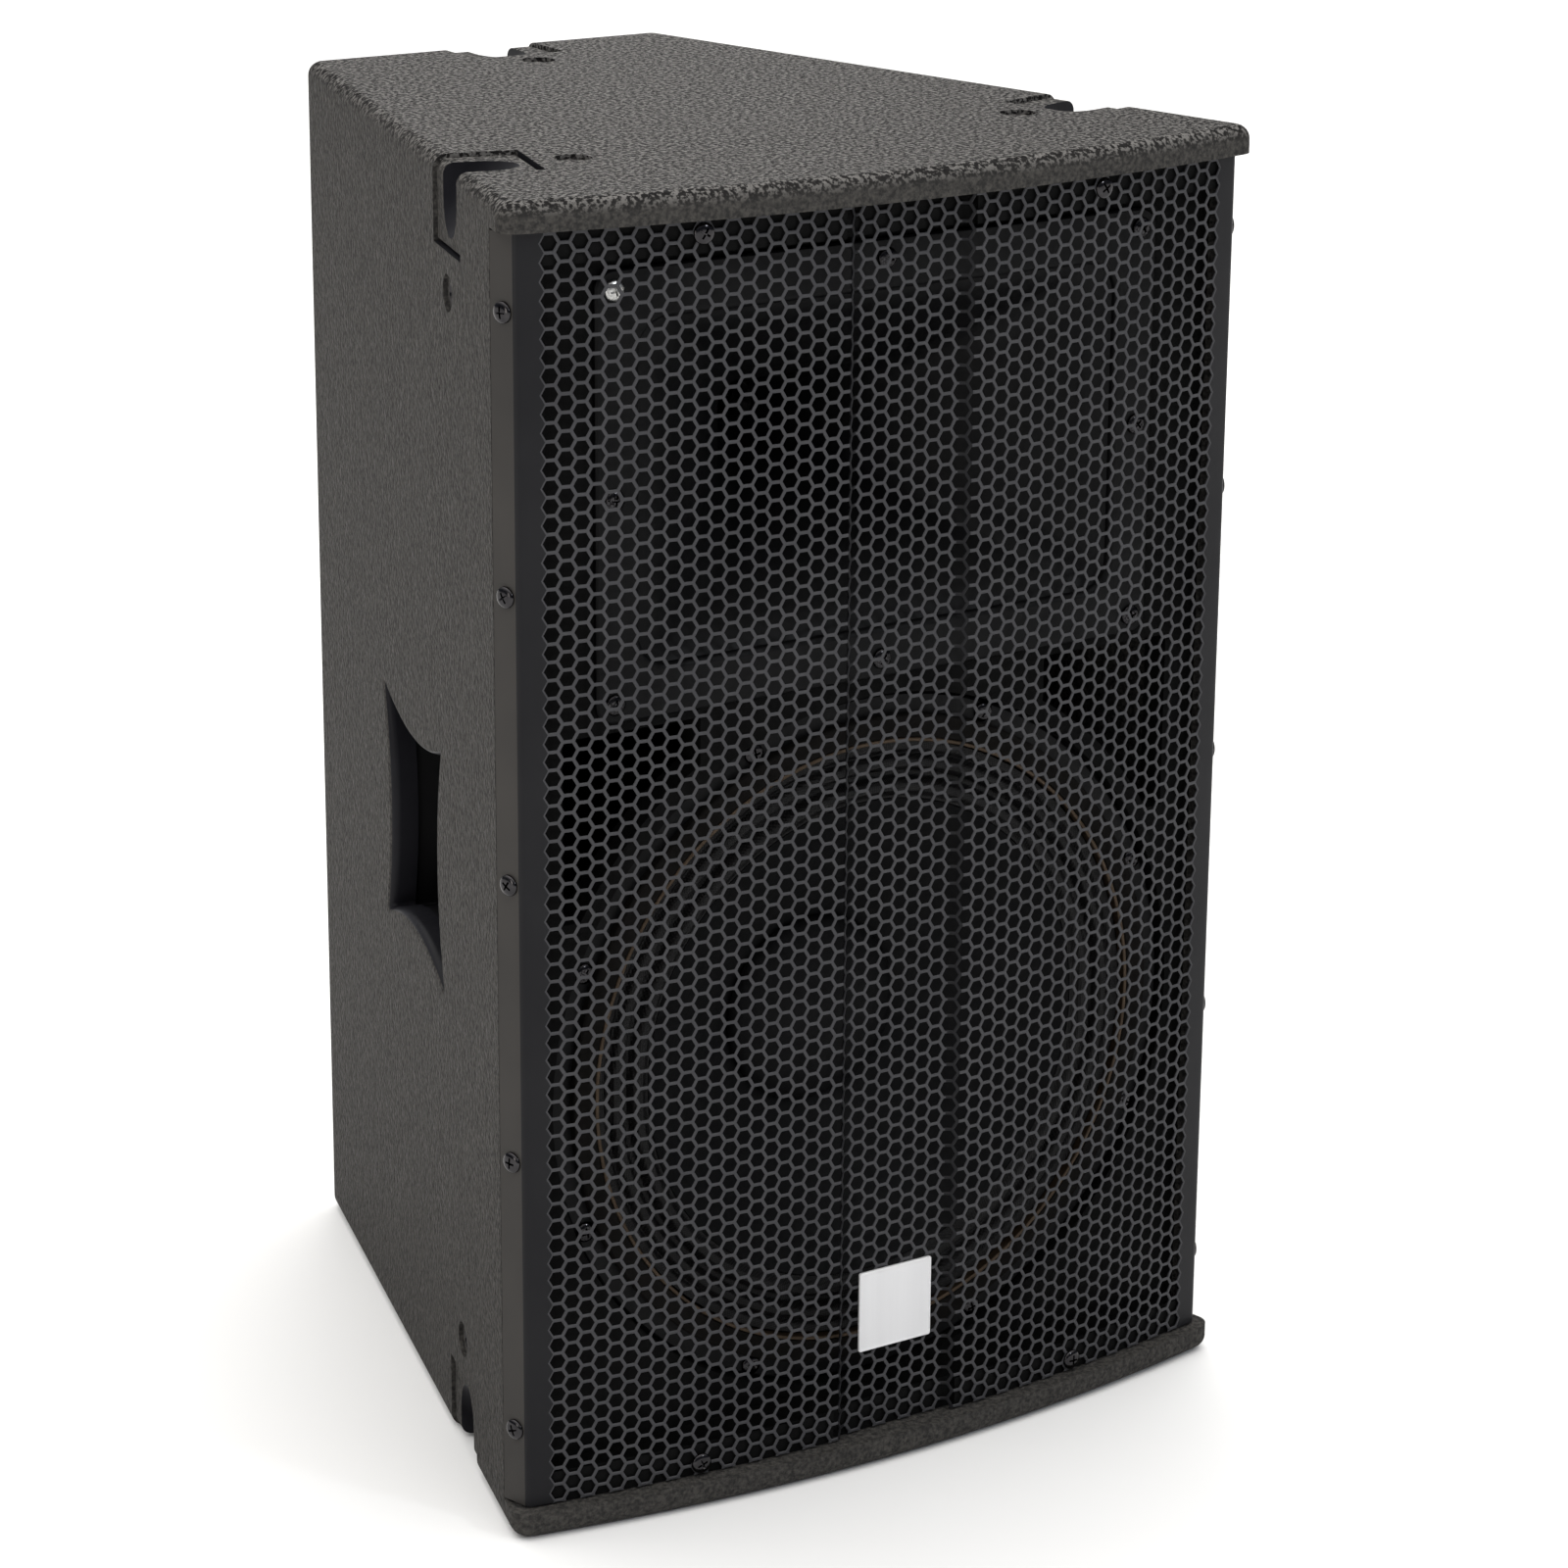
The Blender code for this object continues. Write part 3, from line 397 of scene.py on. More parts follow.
def textured_paint():
    m = Nodes("textured_paint_finish", (0.09, 0.086, 0.082), 0.42, specular=0.005)
    fine = m.noise(400.0, 2.0, 0.55)
    coarse = m.noise(190.0, 2.0, 0.5)
    pebble = m.cells(300.0, 0.4)
    height = m.maths("ADD", m.maths("MULTIPLY", fine, 0.9), m.maths("MULTIPLY", coarse, 0.7))
    height = m.maths("SUBTRACT", height, m.maths("MULTIPLY", pebble, 0.7))
    m.bump(height, 0.70, 0.0018)
    worn = m.ramp(m.noise(9.0, 4.0, 0.6), 0.35, 0.7)
    # The upward face gets light specks as painted glints, standing in for the highlights off its pebble tops.
    # The upright faces get only a plainer grain.
    height_up = m.node("ShaderNodeSeparateXYZ", {"Vector": m.place}).outputs["Z"]
    glint_face_mask = m.ramp(height_up, HEIGHT - 0.0075, HEIGHT - 0.0010)
    painted_glints = m.ramp(m.noise(420.0, 2.0, 0.6), 0.47, 0.58)
    grain = m.ramp(m.noise(420.0, 2.0, 0.6), 0.36, 0.66)
    base = m.mix(worn, (0.0130, 0.0126, 0.0126), (0.0180, 0.0172, 0.0168))
    # The top's colour: dark paint with light specks mixed in as painted glints.
    flat = m.mix(painted_glints, base, (0.150, 0.1440, 0.1380))
    upright = m.mix(grain, (0.0300, 0.0292, 0.0284), (0.0660, 0.0625, 0.0580))
    m.colour(m.mix(glint_face_mask, upright, flat))
    m.rough(m.ramp(coarse, 0.3, 0.7, 0.36, 0.50))
    return m.material


def powder_coat(name, low, high):
    m = Nodes(name, low, 0.34, specular=0.10)
    m.bump(m.noise(900.0, 3.0, 0.6), 0.10, 0.0003)
    m.bump(m.noise(120.0, 2.0, 0.5), 0.08, 0.0006)
    m.colour(m.mix(m.drift(14.0), low, high))
    m.rough(m.drift(60.0, low=0.32, high=0.44))
    return m.material


def moulded(name, low, high, roughness, grain, depth=0.0004, specular=0.3):
    """Moulded plastic or flat paint: a fine grain and slow changes of tone."""
    m = Nodes(name, low, roughness, specular=specular)
    m.bump(m.noise(grain, 3.0, 0.6), 0.25, depth)
    m.colour(m.mix(m.drift(18.0, 4.0), low, high))
    m.rough(m.drift(70.0, low=roughness - 0.07, high=roughness + 0.07))
    return m.material


def metal(name, low, high, roughness, stretch=(1.0, 1.0, 1.0), metallic=1.0):
    """Bare or plated metal with a fine drawn or brushed grain."""
    m = Nodes(name, low, roughness, metallic)
    lines = m.noise(600.0, 4.0, 0.6, m.stretched(stretch))
    m.bump(lines, 0.12, 0.0002)
    m.colour(m.mix(m.ramp(m.noise(90.0, 4.0, 0.6, m.stretched(stretch)), 0.3, 0.7), low, high))
    m.rough(m.ramp(lines, 0.3, 0.7, roughness - 0.08, roughness + 0.08))
    return m.material


def paper():
    m = Nodes("cone_paper_finish", (0.005, 0.005, 0.006), 0.62, specular=0.10)
    fibre = m.noise(380.0, 6.0, 0.7)
    m.bump(fibre, 0.35, 0.0005)
    m.colour(m.mix(m.ramp(fibre, 0.3, 0.7), (0.0035, 0.0035, 0.004), (0.0060, 0.0060, 0.0065)))
    m.rough(m.drift(45.0, low=0.52, high=0.70))
    return m.material


def coated_cloth(name, low, high, roughness):
    """Woven cloth under a glossy doping: a fine weave with uneven shine."""
    m = Nodes(name, low, roughness, specular=0.2)
    threads = [m.node("ShaderNodeTexWave", {"Vector": m.place, "Scale": 260.0, "Distortion": 0.6},
                      bands_direction=way).outputs["Fac"] for way in ("X", "Z")]
    m.bump(m.maths("MULTIPLY", *threads), 0.45, 0.0006)
    m.colour(m.mix(m.drift(60.0), low, high))
    m.rough(m.drift(30.0, 4.0, roughness - 0.12, roughness + 0.12))
    return m.material


PAINT = textured_paint()
POWDER = powder_coat("powder_coat_finish", (0.0110, 0.0110, 0.0125), (0.0145, 0.0145, 0.0160))
# A lighter copy of the powder coat for the bars: painted highlight for their rounded hole edges catching the
# light.
POWDER_BARS_PAINTED_HIGHLIGHT = powder_coat("powder_coat_bars_painted_highlight", (0.046, 0.046, 0.050), (0.058, 0.058, 0.062))
# A lighter, warmer copy of the powder coat for the flanges: painted light from the warm lamp on the left.
POWDER_FLANGE_PAINTED_LIGHT = powder_coat("powder_coat_flange_painted_light", (0.036, 0.034, 0.032), (0.044, 0.041, 0.038))
DARKEST = (0.0035, 0.0035, 0.004), (0.005, 0.005, 0.0055)
DARK = (0.004, 0.004, 0.0045), (0.006, 0.006, 0.0065)
# A darker paint as painted shade in the notches and recess gaps; on the handle's rounded edge it is the
# edge's smooth dark paint and painted shade together.
NOTCH_SHADE_PAINT = moulded("notch_painted_shade_finish", (0.008, 0.008, 0.010), (0.013, 0.013, 0.016), 0.40, 300.0,
                      0.0003, 0.08)
BOARD_PAINT = moulded("flat_paint_finish", (0.004, 0.004, 0.004), (0.006, 0.006, 0.006), 0.75, 420.0,
                      0.0008, 0.06)
PLASTIC = moulded("black_plastic_finish", *DARKEST, 0.45, 520.0, specular=0.12)
POCKET_PLASTIC = moulded("pocket_plastic_finish", *DARK, 0.50, 380.0, specular=0.12)
CAST = moulded("cast_frame_finish", *DARK, 0.45, 700.0, specular=0.12)
GASKET = moulded("gasket_finish", (0.006, 0.0055, 0.005), (0.009, 0.008, 0.0075), 0.85, 260.0, 0.0010, 0.06)
RIM = metal("rim_edge_finish", (0.045, 0.030, 0.018), (0.075, 0.052, 0.034), 0.45, metallic=0.7)
FERRITE = moulded("ferrite_finish", (0.040, 0.040, 0.042), (0.060, 0.060, 0.063), 0.55, 520.0, 0.0006)
CIRCUIT = moulded("circuit_board_finish", (0.16, 0.10, 0.045), (0.22, 0.14, 0.065), 0.55, 240.0)
SCREW_BLACK = metal("black_screw_finish", (0.030, 0.029, 0.031), (0.050, 0.048, 0.050), 0.16)
ZINC = metal("zinc_finish", (0.55, 0.55, 0.54), (0.70, 0.70, 0.68), 0.30)
SILVER = metal("badge_finish", (0.68, 0.68, 0.69), (0.72, 0.72, 0.73), 0.42, (1.0, 1.0, 0.03), 0.25)
COPPER = metal("copper_finish", (0.52, 0.22, 0.10), (0.66, 0.31, 0.15), 0.30)
FILM = metal("titanium_film_finish", (0.46, 0.44, 0.41), (0.58, 0.56, 0.52), 0.28)
CONE = paper()
SURROUND = coated_cloth("surround_finish", (0.0035, 0.0035, 0.0035), (0.0060, 0.0055, 0.0060), 0.42)
SPIDER = coated_cloth("spider_finish", (0.20, 0.12, 0.05), (0.28, 0.18, 0.08), 0.70)
FINISHES = {
    "textured_paint": PAINT, "painted_board": BOARD_PAINT, "powder_coat": POWDER, "badge_metal": SILVER,
    "black_screw": SCREW_BLACK, "zinc_steel": ZINC, "black_plastic": PLASTIC, "cast_frame": CAST,
    "gasket": GASKET, "surround_cloth": SURROUND, "cone_paper": CONE, "ferrite": FERRITE,
    "copper_wire": COPPER, "titanium_film": FILM, "circuit_board": CIRCUIT,
}


# ---- cabinet shell ----
def panel_outline(inset):
    """The cabinet's plan, drawn in from its faces by inset. Its front corners are found by halving."""
    bow_radius = ((FRONT_WIDTH / 2) ** 2 + BOW ** 2) / (2 * BOW)
    centre_y = FRONT_Y - BOW + bow_radius
    radius = bow_radius - inset
    fillet = PLAN_CORNER - inset
    low = FRONT_Y - BOW
    high = REAR_Y
    for _ in range(60):
        y = (low + high) / 2
        x = half_width(y) - (inset + fillet) / COS_SLANT
        if math.hypot(x, y - centre_y) > radius - fillet:
            low = y
        else:
            high = y
    rear_y = REAR_Y - inset - fillet
    rear_x = half_width(rear_y) - (inset + fillet) / COS_SLANT
    bow_half = math.degrees(math.asin(x / (radius - fillet)))
    slant = math.degrees(SLANT)
    points = arc((0, centre_y), radius, 270 - bow_half, 270 + bow_half, 64)
    points += arc((x, y), fillet, 270 + bow_half, 360 + slant, 8)[1:]
    points += arc((rear_x, rear_y), fillet, slant, 90, 8)
    points += arc((-rear_x, rear_y), fillet, 90, 180 - slant, 8)
    points += arc((-x, y), fillet, 180 - slant, 270 - bow_half, 8)[:-1]
    return points


def rigging_frames():
    """Name and frame of each rigging corner. A frame takes (along the edge, in over the flat end
    panel, in over the upright panel) to world coordinates, from the edge's sharp corner."""
    frames = []
    for level, z, down in (("top", HEIGHT, Vector((0, 0, -1))), ("bottom", 0.0, Vector((0, 0, 1)))):
        for side, word in ((-1, "left"), (1, "right")):
            origin = Vector((*on_side(side, RIG_ALONG, 0), z))
            along = Vector((-side * SIN_SLANT, COS_SLANT, 0))
            inward = Vector((-side * COS_SLANT, -SIN_SLANT, 0))
            frames.append((f"{level}_{word}", frame_of(origin, along, inward, down)))
        origin = Vector((0, REAR_Y, z))
        frames.append((f"{level}_rear", frame_of(origin, Vector((1, 0, 0)), Vector((0, -1, 0)), down)))
    return frames


def boss_axes(near, far):
    """Ends of both threaded bores of a corner, between two depths under its faces."""
    return [((0, near, BOLT_IN), (0, far, BOLT_IN)), ((0, BOLT_IN, near), (0, BOLT_IN, far))]


def angle_section(outer, inner, leg, half, corner_radius=0.0):
    """An L-shaped bar along the first axis, its legs from outer to inner under both faces."""
    corner = [(outer, outer)]
    if corner_radius:
        corner = arc((outer + corner_radius,) * 2, corner_radius, 180, 270, 8)
    outline = corner + [(leg, outer), (leg, inner), (inner, inner), (inner, leg), (outer, leg)]
    return solid([[(along, s, t) for s, t in outline] for along in (-half, half)])


def notch_groove(wall):
    """The round-bottomed groove across the corner, grown outward by wall."""
    radius = NOTCH_R + wall
    centre = NOTCH_DEPTH - NOTCH_R
    profile = [(radius, -0.030)] + arc((0, centre), radius, 0, 180, 28) + [(-radius, -0.030)]
    rings = []
    for across in (-NOTCH_REACH, NOTCH_REACH):
        rings.append([(a, (q - across) / math.sqrt(2), (q + across) / math.sqrt(2)) for a, q in profile])
    return solid(rings)


def pincushion(corner, waist, steps=18):
    """The handle's outline about its centre: concave sides between rounded corners."""
    span = 0.93
    side = []
    for i in range(steps + 1):
        t = span * (1 - 2 * i / steps)
        side.append(Vector((waist + (corner - waist) * t * t, corner * t)))
    points = []
    for quarter in range(4):
        turn = Matrix.Rotation(-math.pi / 2 * quarter, 2)
        next_turn = Matrix.Rotation(-math.pi / 2 * (quarter + 1), 2)
        points += [turn @ point for point in side]
        start = turn @ side[-1]
        pull = turn @ Vector((corner, -corner))
        end = next_turn @ side[0]
        for i in range(1, 8):
            t = i / 8
            points.append(start * (1 - t) ** 2 + pull * 2 * t * (1 - t) + end * t * t)
    return points


def handle_ring(grow, inward):
    outline = pincushion(HANDLE_CORNER + grow, HANDLE_WAIST + grow)
    return [(HANDLE_ALONG + p.x, inward, HANDLE_Z + p.y) for p in outline]


def rear_ring(half_x, half_z, radius, inward):
    return [(x, REAR_Y - inward, DISH_Z + z) for x, z in rounded_rectangle(half_x, half_z, radius, 8)]


def flared(ring, radius, through):
    """Rings of a cutter whose mouth is rounded over: ring(grow, depth) gives one outline."""
    rings = [ring(radius + 0.003, -0.003), ring(radius, 0.0)]
    rings += [ring(radius * (1 - sine), radius * (1 - cosine)) for sine, cosine in quarter(6)[1:]]
    return rings + [ring(0.0, through)]


def in_handle_edge(spot):
    near = max(abs(spot.x - HANDLE_ALONG), abs(spot.z - HANDLE_Z)) < HANDLE_CORNER + 0.011
    return near and 0.0008 < spot.y < PLY - 0.0005


def in_recess(spot):
    near = abs(spot.x) < RIG_HALF + 0.003 and max(spot.y, spot.z) < RIG_LEG + 0.004
    return near and 0.0006 < min(spot.y, spot.z) < 0.0060


def cabinet_shell():
    """The five painted panels as one seamless skin, cut for the fittings."""
    rings = []
    for level, way, turns in ((0.0, -1, quarter(7)[::-1]), (HEIGHT, 1, quarter(7))):
        for sine, cosine in turns:
            z = level - way * EDGE_RADIUS * (1 - sine)
            rings.append([(x, y, z) for x, y in panel_outline(EDGE_RADIUS * (1 - cosine))])
    shell = new_object("cabinet_shell", solid(rings), PAINT)

    flange = (Vector(FLANGE_BEND) - Vector(FLANGE_END)).normalized()
    behind = Vector((flange.y, -flange.x))
    seat = Vector(FLANGE_END) + behind * (SHEET + 0.0004)
    lip = seat + flange * 0.0125
    rear = (REAR_Y - PLY - FRONT_Y) / COS_SLANT + PLY * TAPER
    half = [(FLANGE_END[0] + 0.0012, -0.030), (FLANGE_END[0] + 0.0012, 0.0), tuple(seat), tuple(lip),
            (lip.x, PLY), (rear, PLY)]
    right = [on_side(1, along, inward) for along, inward in half]
    right = [(0.300, FRONT_Y - 0.100), (0.300, right[0][1])] + right
    outline = right + [(-x, y) for x, y in reversed(right)]
    cutters = [prism(outline, PLY, HEIGHT - PLY)]

    for _, matrix in rigging_frames():
        slack = 0.0020
        recess = angle_section(-0.006, RIG_RECESS + RIG_PLATE, RIG_LEG + slack, RIG_HALF + slack)
        cutters.append(moved(recess, matrix))
        cutters.append(moved(notch_groove(0.0025), matrix))
        for ends in boss_axes(-0.006, PLY + 0.004):
            cutters.append(moved(cylinder(*ends, BOSS_R + 0.0004, 48), matrix))
    for side in (-1, 1):
        rings = flared(handle_ring, 0.0055, PLY + 0.006)
        cutters.append(moved(solid(rings), side_frame(side)))
    for (wide, tall), grow, corner, floor in ((DISH_FLANGE, 0.0006, 0.0066, SHEET + 0.0008),
                                              (DISH_OPENING, 0.004, 0.012, PLY + 0.006)):
        rings = [rear_ring(wide + grow, tall + grow, corner, depth) for depth in (-0.004, floor)]
        cutters.append(solid(rings))
    cut(shell, cutters)
    weighted(shell, 28)
    # Painted shade: the recess gaps and the handle opening's walls get the darker notch paint, which on the
    # handle's rounded edge also stands for its smooth dark paint.
    shell.data.materials.append(NOTCH_SHADE_PAINT)
    for side in (-1, 1):
        repaint(shell, side_frame(side), 1, in_handle_edge)
    for _, matrix in rigging_frames():
        repaint(shell, matrix, 1, in_recess)
    stand_in(shell, "textured_paint", "top_panel", "bottom_panel", "side_panel_left", "side_panel_right",
             "rear_panel")


def rigging_plate(name, matrix):
    """The painted steel corner plate with the notch pressed into it."""
    outer = RIG_RECESS
    inner = RIG_RECESS + RIG_PLATE
    corner = 0.006
    section = angle_section(outer, inner, RIG_LEG, RIG_HALF, corner)
    plate = new_object(f"{name}_cover", moved(section, matrix), PAINT)
    trough = new_object("trough", moved(notch_groove(0.0022), matrix))
    reach = RIG_LEG - 0.001
    within = arc((outer + corner, outer + corner), corner, 180, 270, 8) + [(reach, outer), (outer, reach)]
    within = solid([[(along, s, t) for s, t in within] for along in (-RIG_HALF + 0.001, RIG_HALF - 0.001)])
    cut(trough, [moved(within, matrix)], "INTERSECT")
    bm = bmesh.new()
    bm.from_mesh(trough.data)
    bpy.data.objects.remove(trough)
    cut(plate, [bm], "UNION")
    cut(plate, [moved(notch_groove(0.0), matrix)])
    bevel = plate.modifiers.new("edges", "BEVEL")
    bevel.width = 0.0005
    bevel.segments = 2
    bevel.limit_method = "ANGLE"
    bevel.angle_limit = math.radians(40)
    settle(plate)
    weighted(plate, 35)
    # The notch's faces get the darker paint as painted shade.
    plate.data.materials.append(NOTCH_SHADE_PAINT)
    repaint(plate, matrix, 1,
            lambda spot: min(spot.y, spot.z) > RIG_RECESS + 0.0006 and abs(spot.x) < NOTCH_R + 0.001)
    stand_in(plate, "textured_paint", name)


def in_thread(spot):
    """Whether a place is in a boss's bore, or behind its painted face."""
    depth, other = sorted((spot.y, spot.z))
    reach = THREAD_R + 0.001 if depth < RIG_RECESS + 0.0013 else BOSS_R - 0.0007
    return depth < PLY - 0.001 and math.hypot(spot.x, other - BOLT_IN) <= reach


def rigging_bracket(name, matrix):
    """The zinc angle inside the corner. Its two bosses have painted faces and cut threads."""
    inner = PLY + 0.0003
    seat = RIG_RECESS + 0.0003
    section = angle_section(inner, inner + BRACKET_THICK, BRACKET_LEG, BRACKET_HALF)
    angle = new_object(f"{name}_angle", moved(section, matrix), ZINC)
    holes = [moved(notch_groove(0.0032), matrix)]
    bosses = []
    for axis, ends in enumerate(boss_axes(0.012, 0.024)):
        holes.append(moved(cylinder(*ends, THREAD_R + 0.0008, 40), matrix))
        profile = [(BOSS_R - 0.0005, 0.0), (BOSS_R, 0.0005), (BOSS_R, 0.015), (THREAD_R - 0.0004, 0.015)]
        for i in range(6, -1, -1):
            depth = 0.0012 + 0.00135 * i
            profile += [(THREAD_R + 0.0006, depth + 0.0006), (THREAD_R - 0.0003, depth)]
        profile += [(THREAD_R + 0.0008, 0.0)]
        if axis:
            place = Matrix.Translation((0, BOLT_IN, seat)) @ Matrix.Rotation(math.pi / 2, 4, "X")
        else:
            place = Matrix.Translation((0, seat, BOLT_IN))
        bosses.append(moved(turned(profile, (0, 0), True, 40), matrix @ place))
    cut(angle, holes)
    cut(angle, bosses, "UNION")
    shade(angle, 30)
    for finish in (PAINT, SCREW_BLACK):
        angle.data.materials.append(finish)
    repaint(angle, matrix, 1, lambda spot: min(spot.y, spot.z) < PLY - 0.001)
    repaint(angle, matrix, 2, in_thread)
    stand_in(angle, "zinc_steel", name)


def handle_pocket(name, side):
    """The moulded cup behind the cut-out, with a lip under the panel and a rounded floor."""
    near = PLY + 0.0003
    floor = near + POCKET_DEPTH
    profile = [(-0.0135, floor), (-0.0080, floor - 0.0012), (-0.0045, floor - 0.0050),
               (-0.0010, floor - 0.016), (0.0015, near + 0.030), (0.0024, near + 0.002), (0.0026, near),
               (0.0150, near), (0.0150, near + 0.003), (0.0062, near + 0.003), (0.0055, near + 0.032),
               (0.0, floor - 0.004), (-0.0100, floor + 0.003)]
    rings = [handle_ring(grow, inward) for grow, inward in profile]
    cup = new_object(f"{name}_cup", moved(solid(rings), side_frame(side)), POCKET_PLASTIC)
    weighted(cup, 35)
    stand_in(cup, "black_plastic", name)


# ---- screws ----
def pan_head(name, radius, height, made_of):
    """A pan-head screw about +Z with its seat at the origin, and a cross recess."""
    dome = [(radius * cosine ** 0.8, height * (0.30 + 0.70 * sine)) for sine, cosine in quarter(8)[:-1]]
    dome += [(0.0, height)]
    profile = [(0.0, -0.004), (radius * 0.36, -0.004), (radius * 0.36, 0.0), (radius * 0.97, 0.0),
               (radius, height * 0.08)] + dome
    head = new_object(name, turned([(r, -z) for r, z in profile], (0, 0), False, 40), made_of)
    head.data.transform(Matrix.Rotation(-math.pi / 2, 4, "X"))
    wide = radius * 0.115
    long = radius * 0.62
    slots = []
    for turn in (0, math.pi / 2):
        rings = [[(x * long * f, y * wide * f, z) for x, y in ((-1, -1), (1, -1), (1, 1), (-1, 1))]
                 for f, z in ((1.0, height * 1.2), (0.55, height * 0.25))]
        slots.append(moved(solid(rings), Matrix.Rotation(turn, 4, "Z")))
    cut(head, slots)
    shade(head, 32)
    bpy.context.collection.objects.unlink(head)
    return head.data


def place_screw(name, mesh, seat, outward, spin, slot_name, *nodes):
    screw = linked(name, mesh)
    turn = Vector(outward).to_track_quat("Z", "Y").to_matrix().to_4x4()
    screw.matrix_world = Matrix.Translation(seat) @ turn @ Matrix.Rotation(spin, 4, "Z")
    stand_in(screw, slot_name, *nodes)


# ---- grille ----
def grille_y(x):
    """The grille's outer face beside its channel."""
    middle = FRONT_Y - BOW + GRILLE_SET_BACK
    bend_x, bend_y = on_side(1, *FLANGE_BEND)
    return middle + (bend_y - middle) * (x / bend_x) ** 2


def grille_path():
    """Points of the grille's outer face in plan, from its middle to the end of the right flange,
    with the bends rounded."""
    bend_x, bend_y = on_side(1, *FLANGE_BEND)
    end_x, end_y = on_side(1, *FLANGE_END)
    edge = CHANNEL_HALF + CHANNEL_SLOPE
    points = [Vector((CHANNEL_HALF * i / 4, grille_y(0) + CHANNEL_DEPTH)) for i in range(4)]
    corners = [Vector((CHANNEL_HALF, grille_y(0) + CHANNEL_DEPTH)), Vector((edge, grille_y(edge)))]
    wing = [Vector((x, grille_y(x))) for x in np.linspace(edge + 0.004, bend_x - 0.006, 40)]
    bend = Vector((bend_x, bend_y))
    end = Vector((end_x, end_y))
    points += rounded_corner(points[-1], corners[0], corners[1], 0.0018, 4)
    points += rounded_corner(corners[0], corners[1], wing[0], 0.0018, 4)
    points += wing
    points += rounded_corner(wing[-1], bend, end, 0.0022, 6)
    points += [bend.lerp(end, 0.5), end]
    return points


def rounded_corner(before, corner, after, reach, steps):
    start = corner + (before - corner).normalized() * reach
    end = corner + (after - corner).normalized() * reach
    return [start * (1 - t) ** 2 + corner * 2 * t * (1 - t) + end * t * t
            for t in (i / steps for i in range(steps + 1))]


class Sheet:
    """Takes (distance round the grille from its middle, depth behind its face) to plan points."""

    def __init__(self):
        half = np.array([tuple(p) for p in grille_path()])
        full = np.vstack([half[:0:-1] * (-1, 1), half])
        lengths = np.concatenate([[0], np.cumsum(np.hypot(*np.diff(full, axis=0).T))])
        self.distance = lengths - lengths[-1] / 2
        self.points = full
        tangent = np.gradient(full, axis=0)
        tangent /= np.hypot(*tangent.T)[:, None]
        self.inward = np.column_stack([-tangent[:, 1], tangent[:, 0]])

    def at(self, u, depth):
        spot = [np.interp(u, self.distance, self.points[:, k]) for k in (0, 1)]
        lean = [np.interp(u, self.distance, self.inward[:, k]) for k in (0, 1)]
        size = np.hypot(*lean)
        return spot[0] + lean[0] / size * depth, spot[1] + lean[1] / size * depth


def perforated_net(sheet):
    """The flat net of the sheet, wrapped round its bowed path: a ring of facets round each hexagonal
    hole, plain margins, and straight cuts along its top and bottom."""
    low = PLY + GRILLE_CLEARANCE
    high = HEIGHT - PLY - GRILLE_CLEARANCE
    verts = []
    index = {}
    faces = []

    def vertex(u, z, depth):
        key = (round(u * 2e6), round(z * 2e6))
        if key not in index:
            index[key] = len(verts)
            verts.append((u, z, depth))
        return index[key]

    def heights(column):
        """Heights of a column's hole centres, from below the low edge to past the high one."""
        first = math.floor((low - HOLE_PHASE) / HOLE_PITCH) - 1
        shift = HOLE_PITCH / 2 if column % 2 else 0.0
        rows = range(first, first + int((high - low) / HOLE_PITCH) + 3)
        return [HOLE_PHASE + row * HOLE_PITCH + shift for row in rows]

    corner = [(math.cos(math.radians(60 * k)), math.sin(math.radians(60 * k))) for k in range(6)]
    for column in range(-HOLE_COLUMNS, HOLE_COLUMNS + 1):
        u = column * HOLE_SPACING
        for z in heights(column):
            rings = [[vertex(u + r * cx, z + r * cz, d) for cx, cz in corner]
                     for r, d in ((CELL_R, 0.0), (HOLE_R + 0.00042, 0.00002), (HOLE_R, 0.00036))]
            for near, far in zip(rings, rings[1:]):
                for k in range(6):
                    j = (k + 1) % 6
                    faces.append((near[k], near[j], far[j], far[k]))
    # Plain margins beside the last columns, out to the ends of the flanges.
    edge_u = HOLE_COLUMNS * HOLE_SPACING
    knots = sorted({round(abs(d), 6) for d in sheet.distance if abs(d) > edge_u + CELL_R + 0.0005})
    zigzag = [(CELL_R / 2, -HOLE_PITCH / 2), (CELL_R, 0.0), (CELL_R / 2, HOLE_PITCH / 2)]
    for side in (-1, 1):
        for z in heights(HOLE_COLUMNS):
            levels = [[vertex(side * (edge_u + du), z + dz, 0.0) for du, dz in zigzag]]
            levels += [[vertex(side * knot, z + dz, 0.0) for _, dz in zigzag] for knot in knots]
            for near, far in zip(levels, levels[1:]):
                for k in range(2):
                    faces.append((near[k], near[k + 1], far[k + 1], far[k]))
    bm = bmesh.new()
    made = [bm.verts.new((u, depth, z)) for u, z, depth in verts]
    for face in faces:
        bm.faces.new([made[i] for i in face])
    slices = [((0, 0, low), (0, 0, -1)), ((0, 0, high), (0, 0, 1))]
    slices += [((d, 0, 0), (1, 0, 0)) for d in sheet.distance
               if CHANNEL_HALF - 0.003 < abs(d) < CHANNEL_HALF + 0.012]
    for place, normal in slices:
        everything = bm.verts[:] + bm.edges[:] + bm.faces[:]
        bmesh.ops.bisect_plane(bm, geom=everything, plane_co=place, plane_no=normal, dist=1e-7,
                               clear_outer=normal[0] == 0)
    for vert in bm.verts:
        u, depth, z = vert.co
        vert.co = (*sheet.at(u, depth), z)
    bmesh.ops.recalc_face_normals(bm, faces=bm.faces)
    if sum(face.normal.y for face in bm.faces) > 0:
        bmesh.ops.reverse_faces(bm, faces=bm.faces)
    return bm


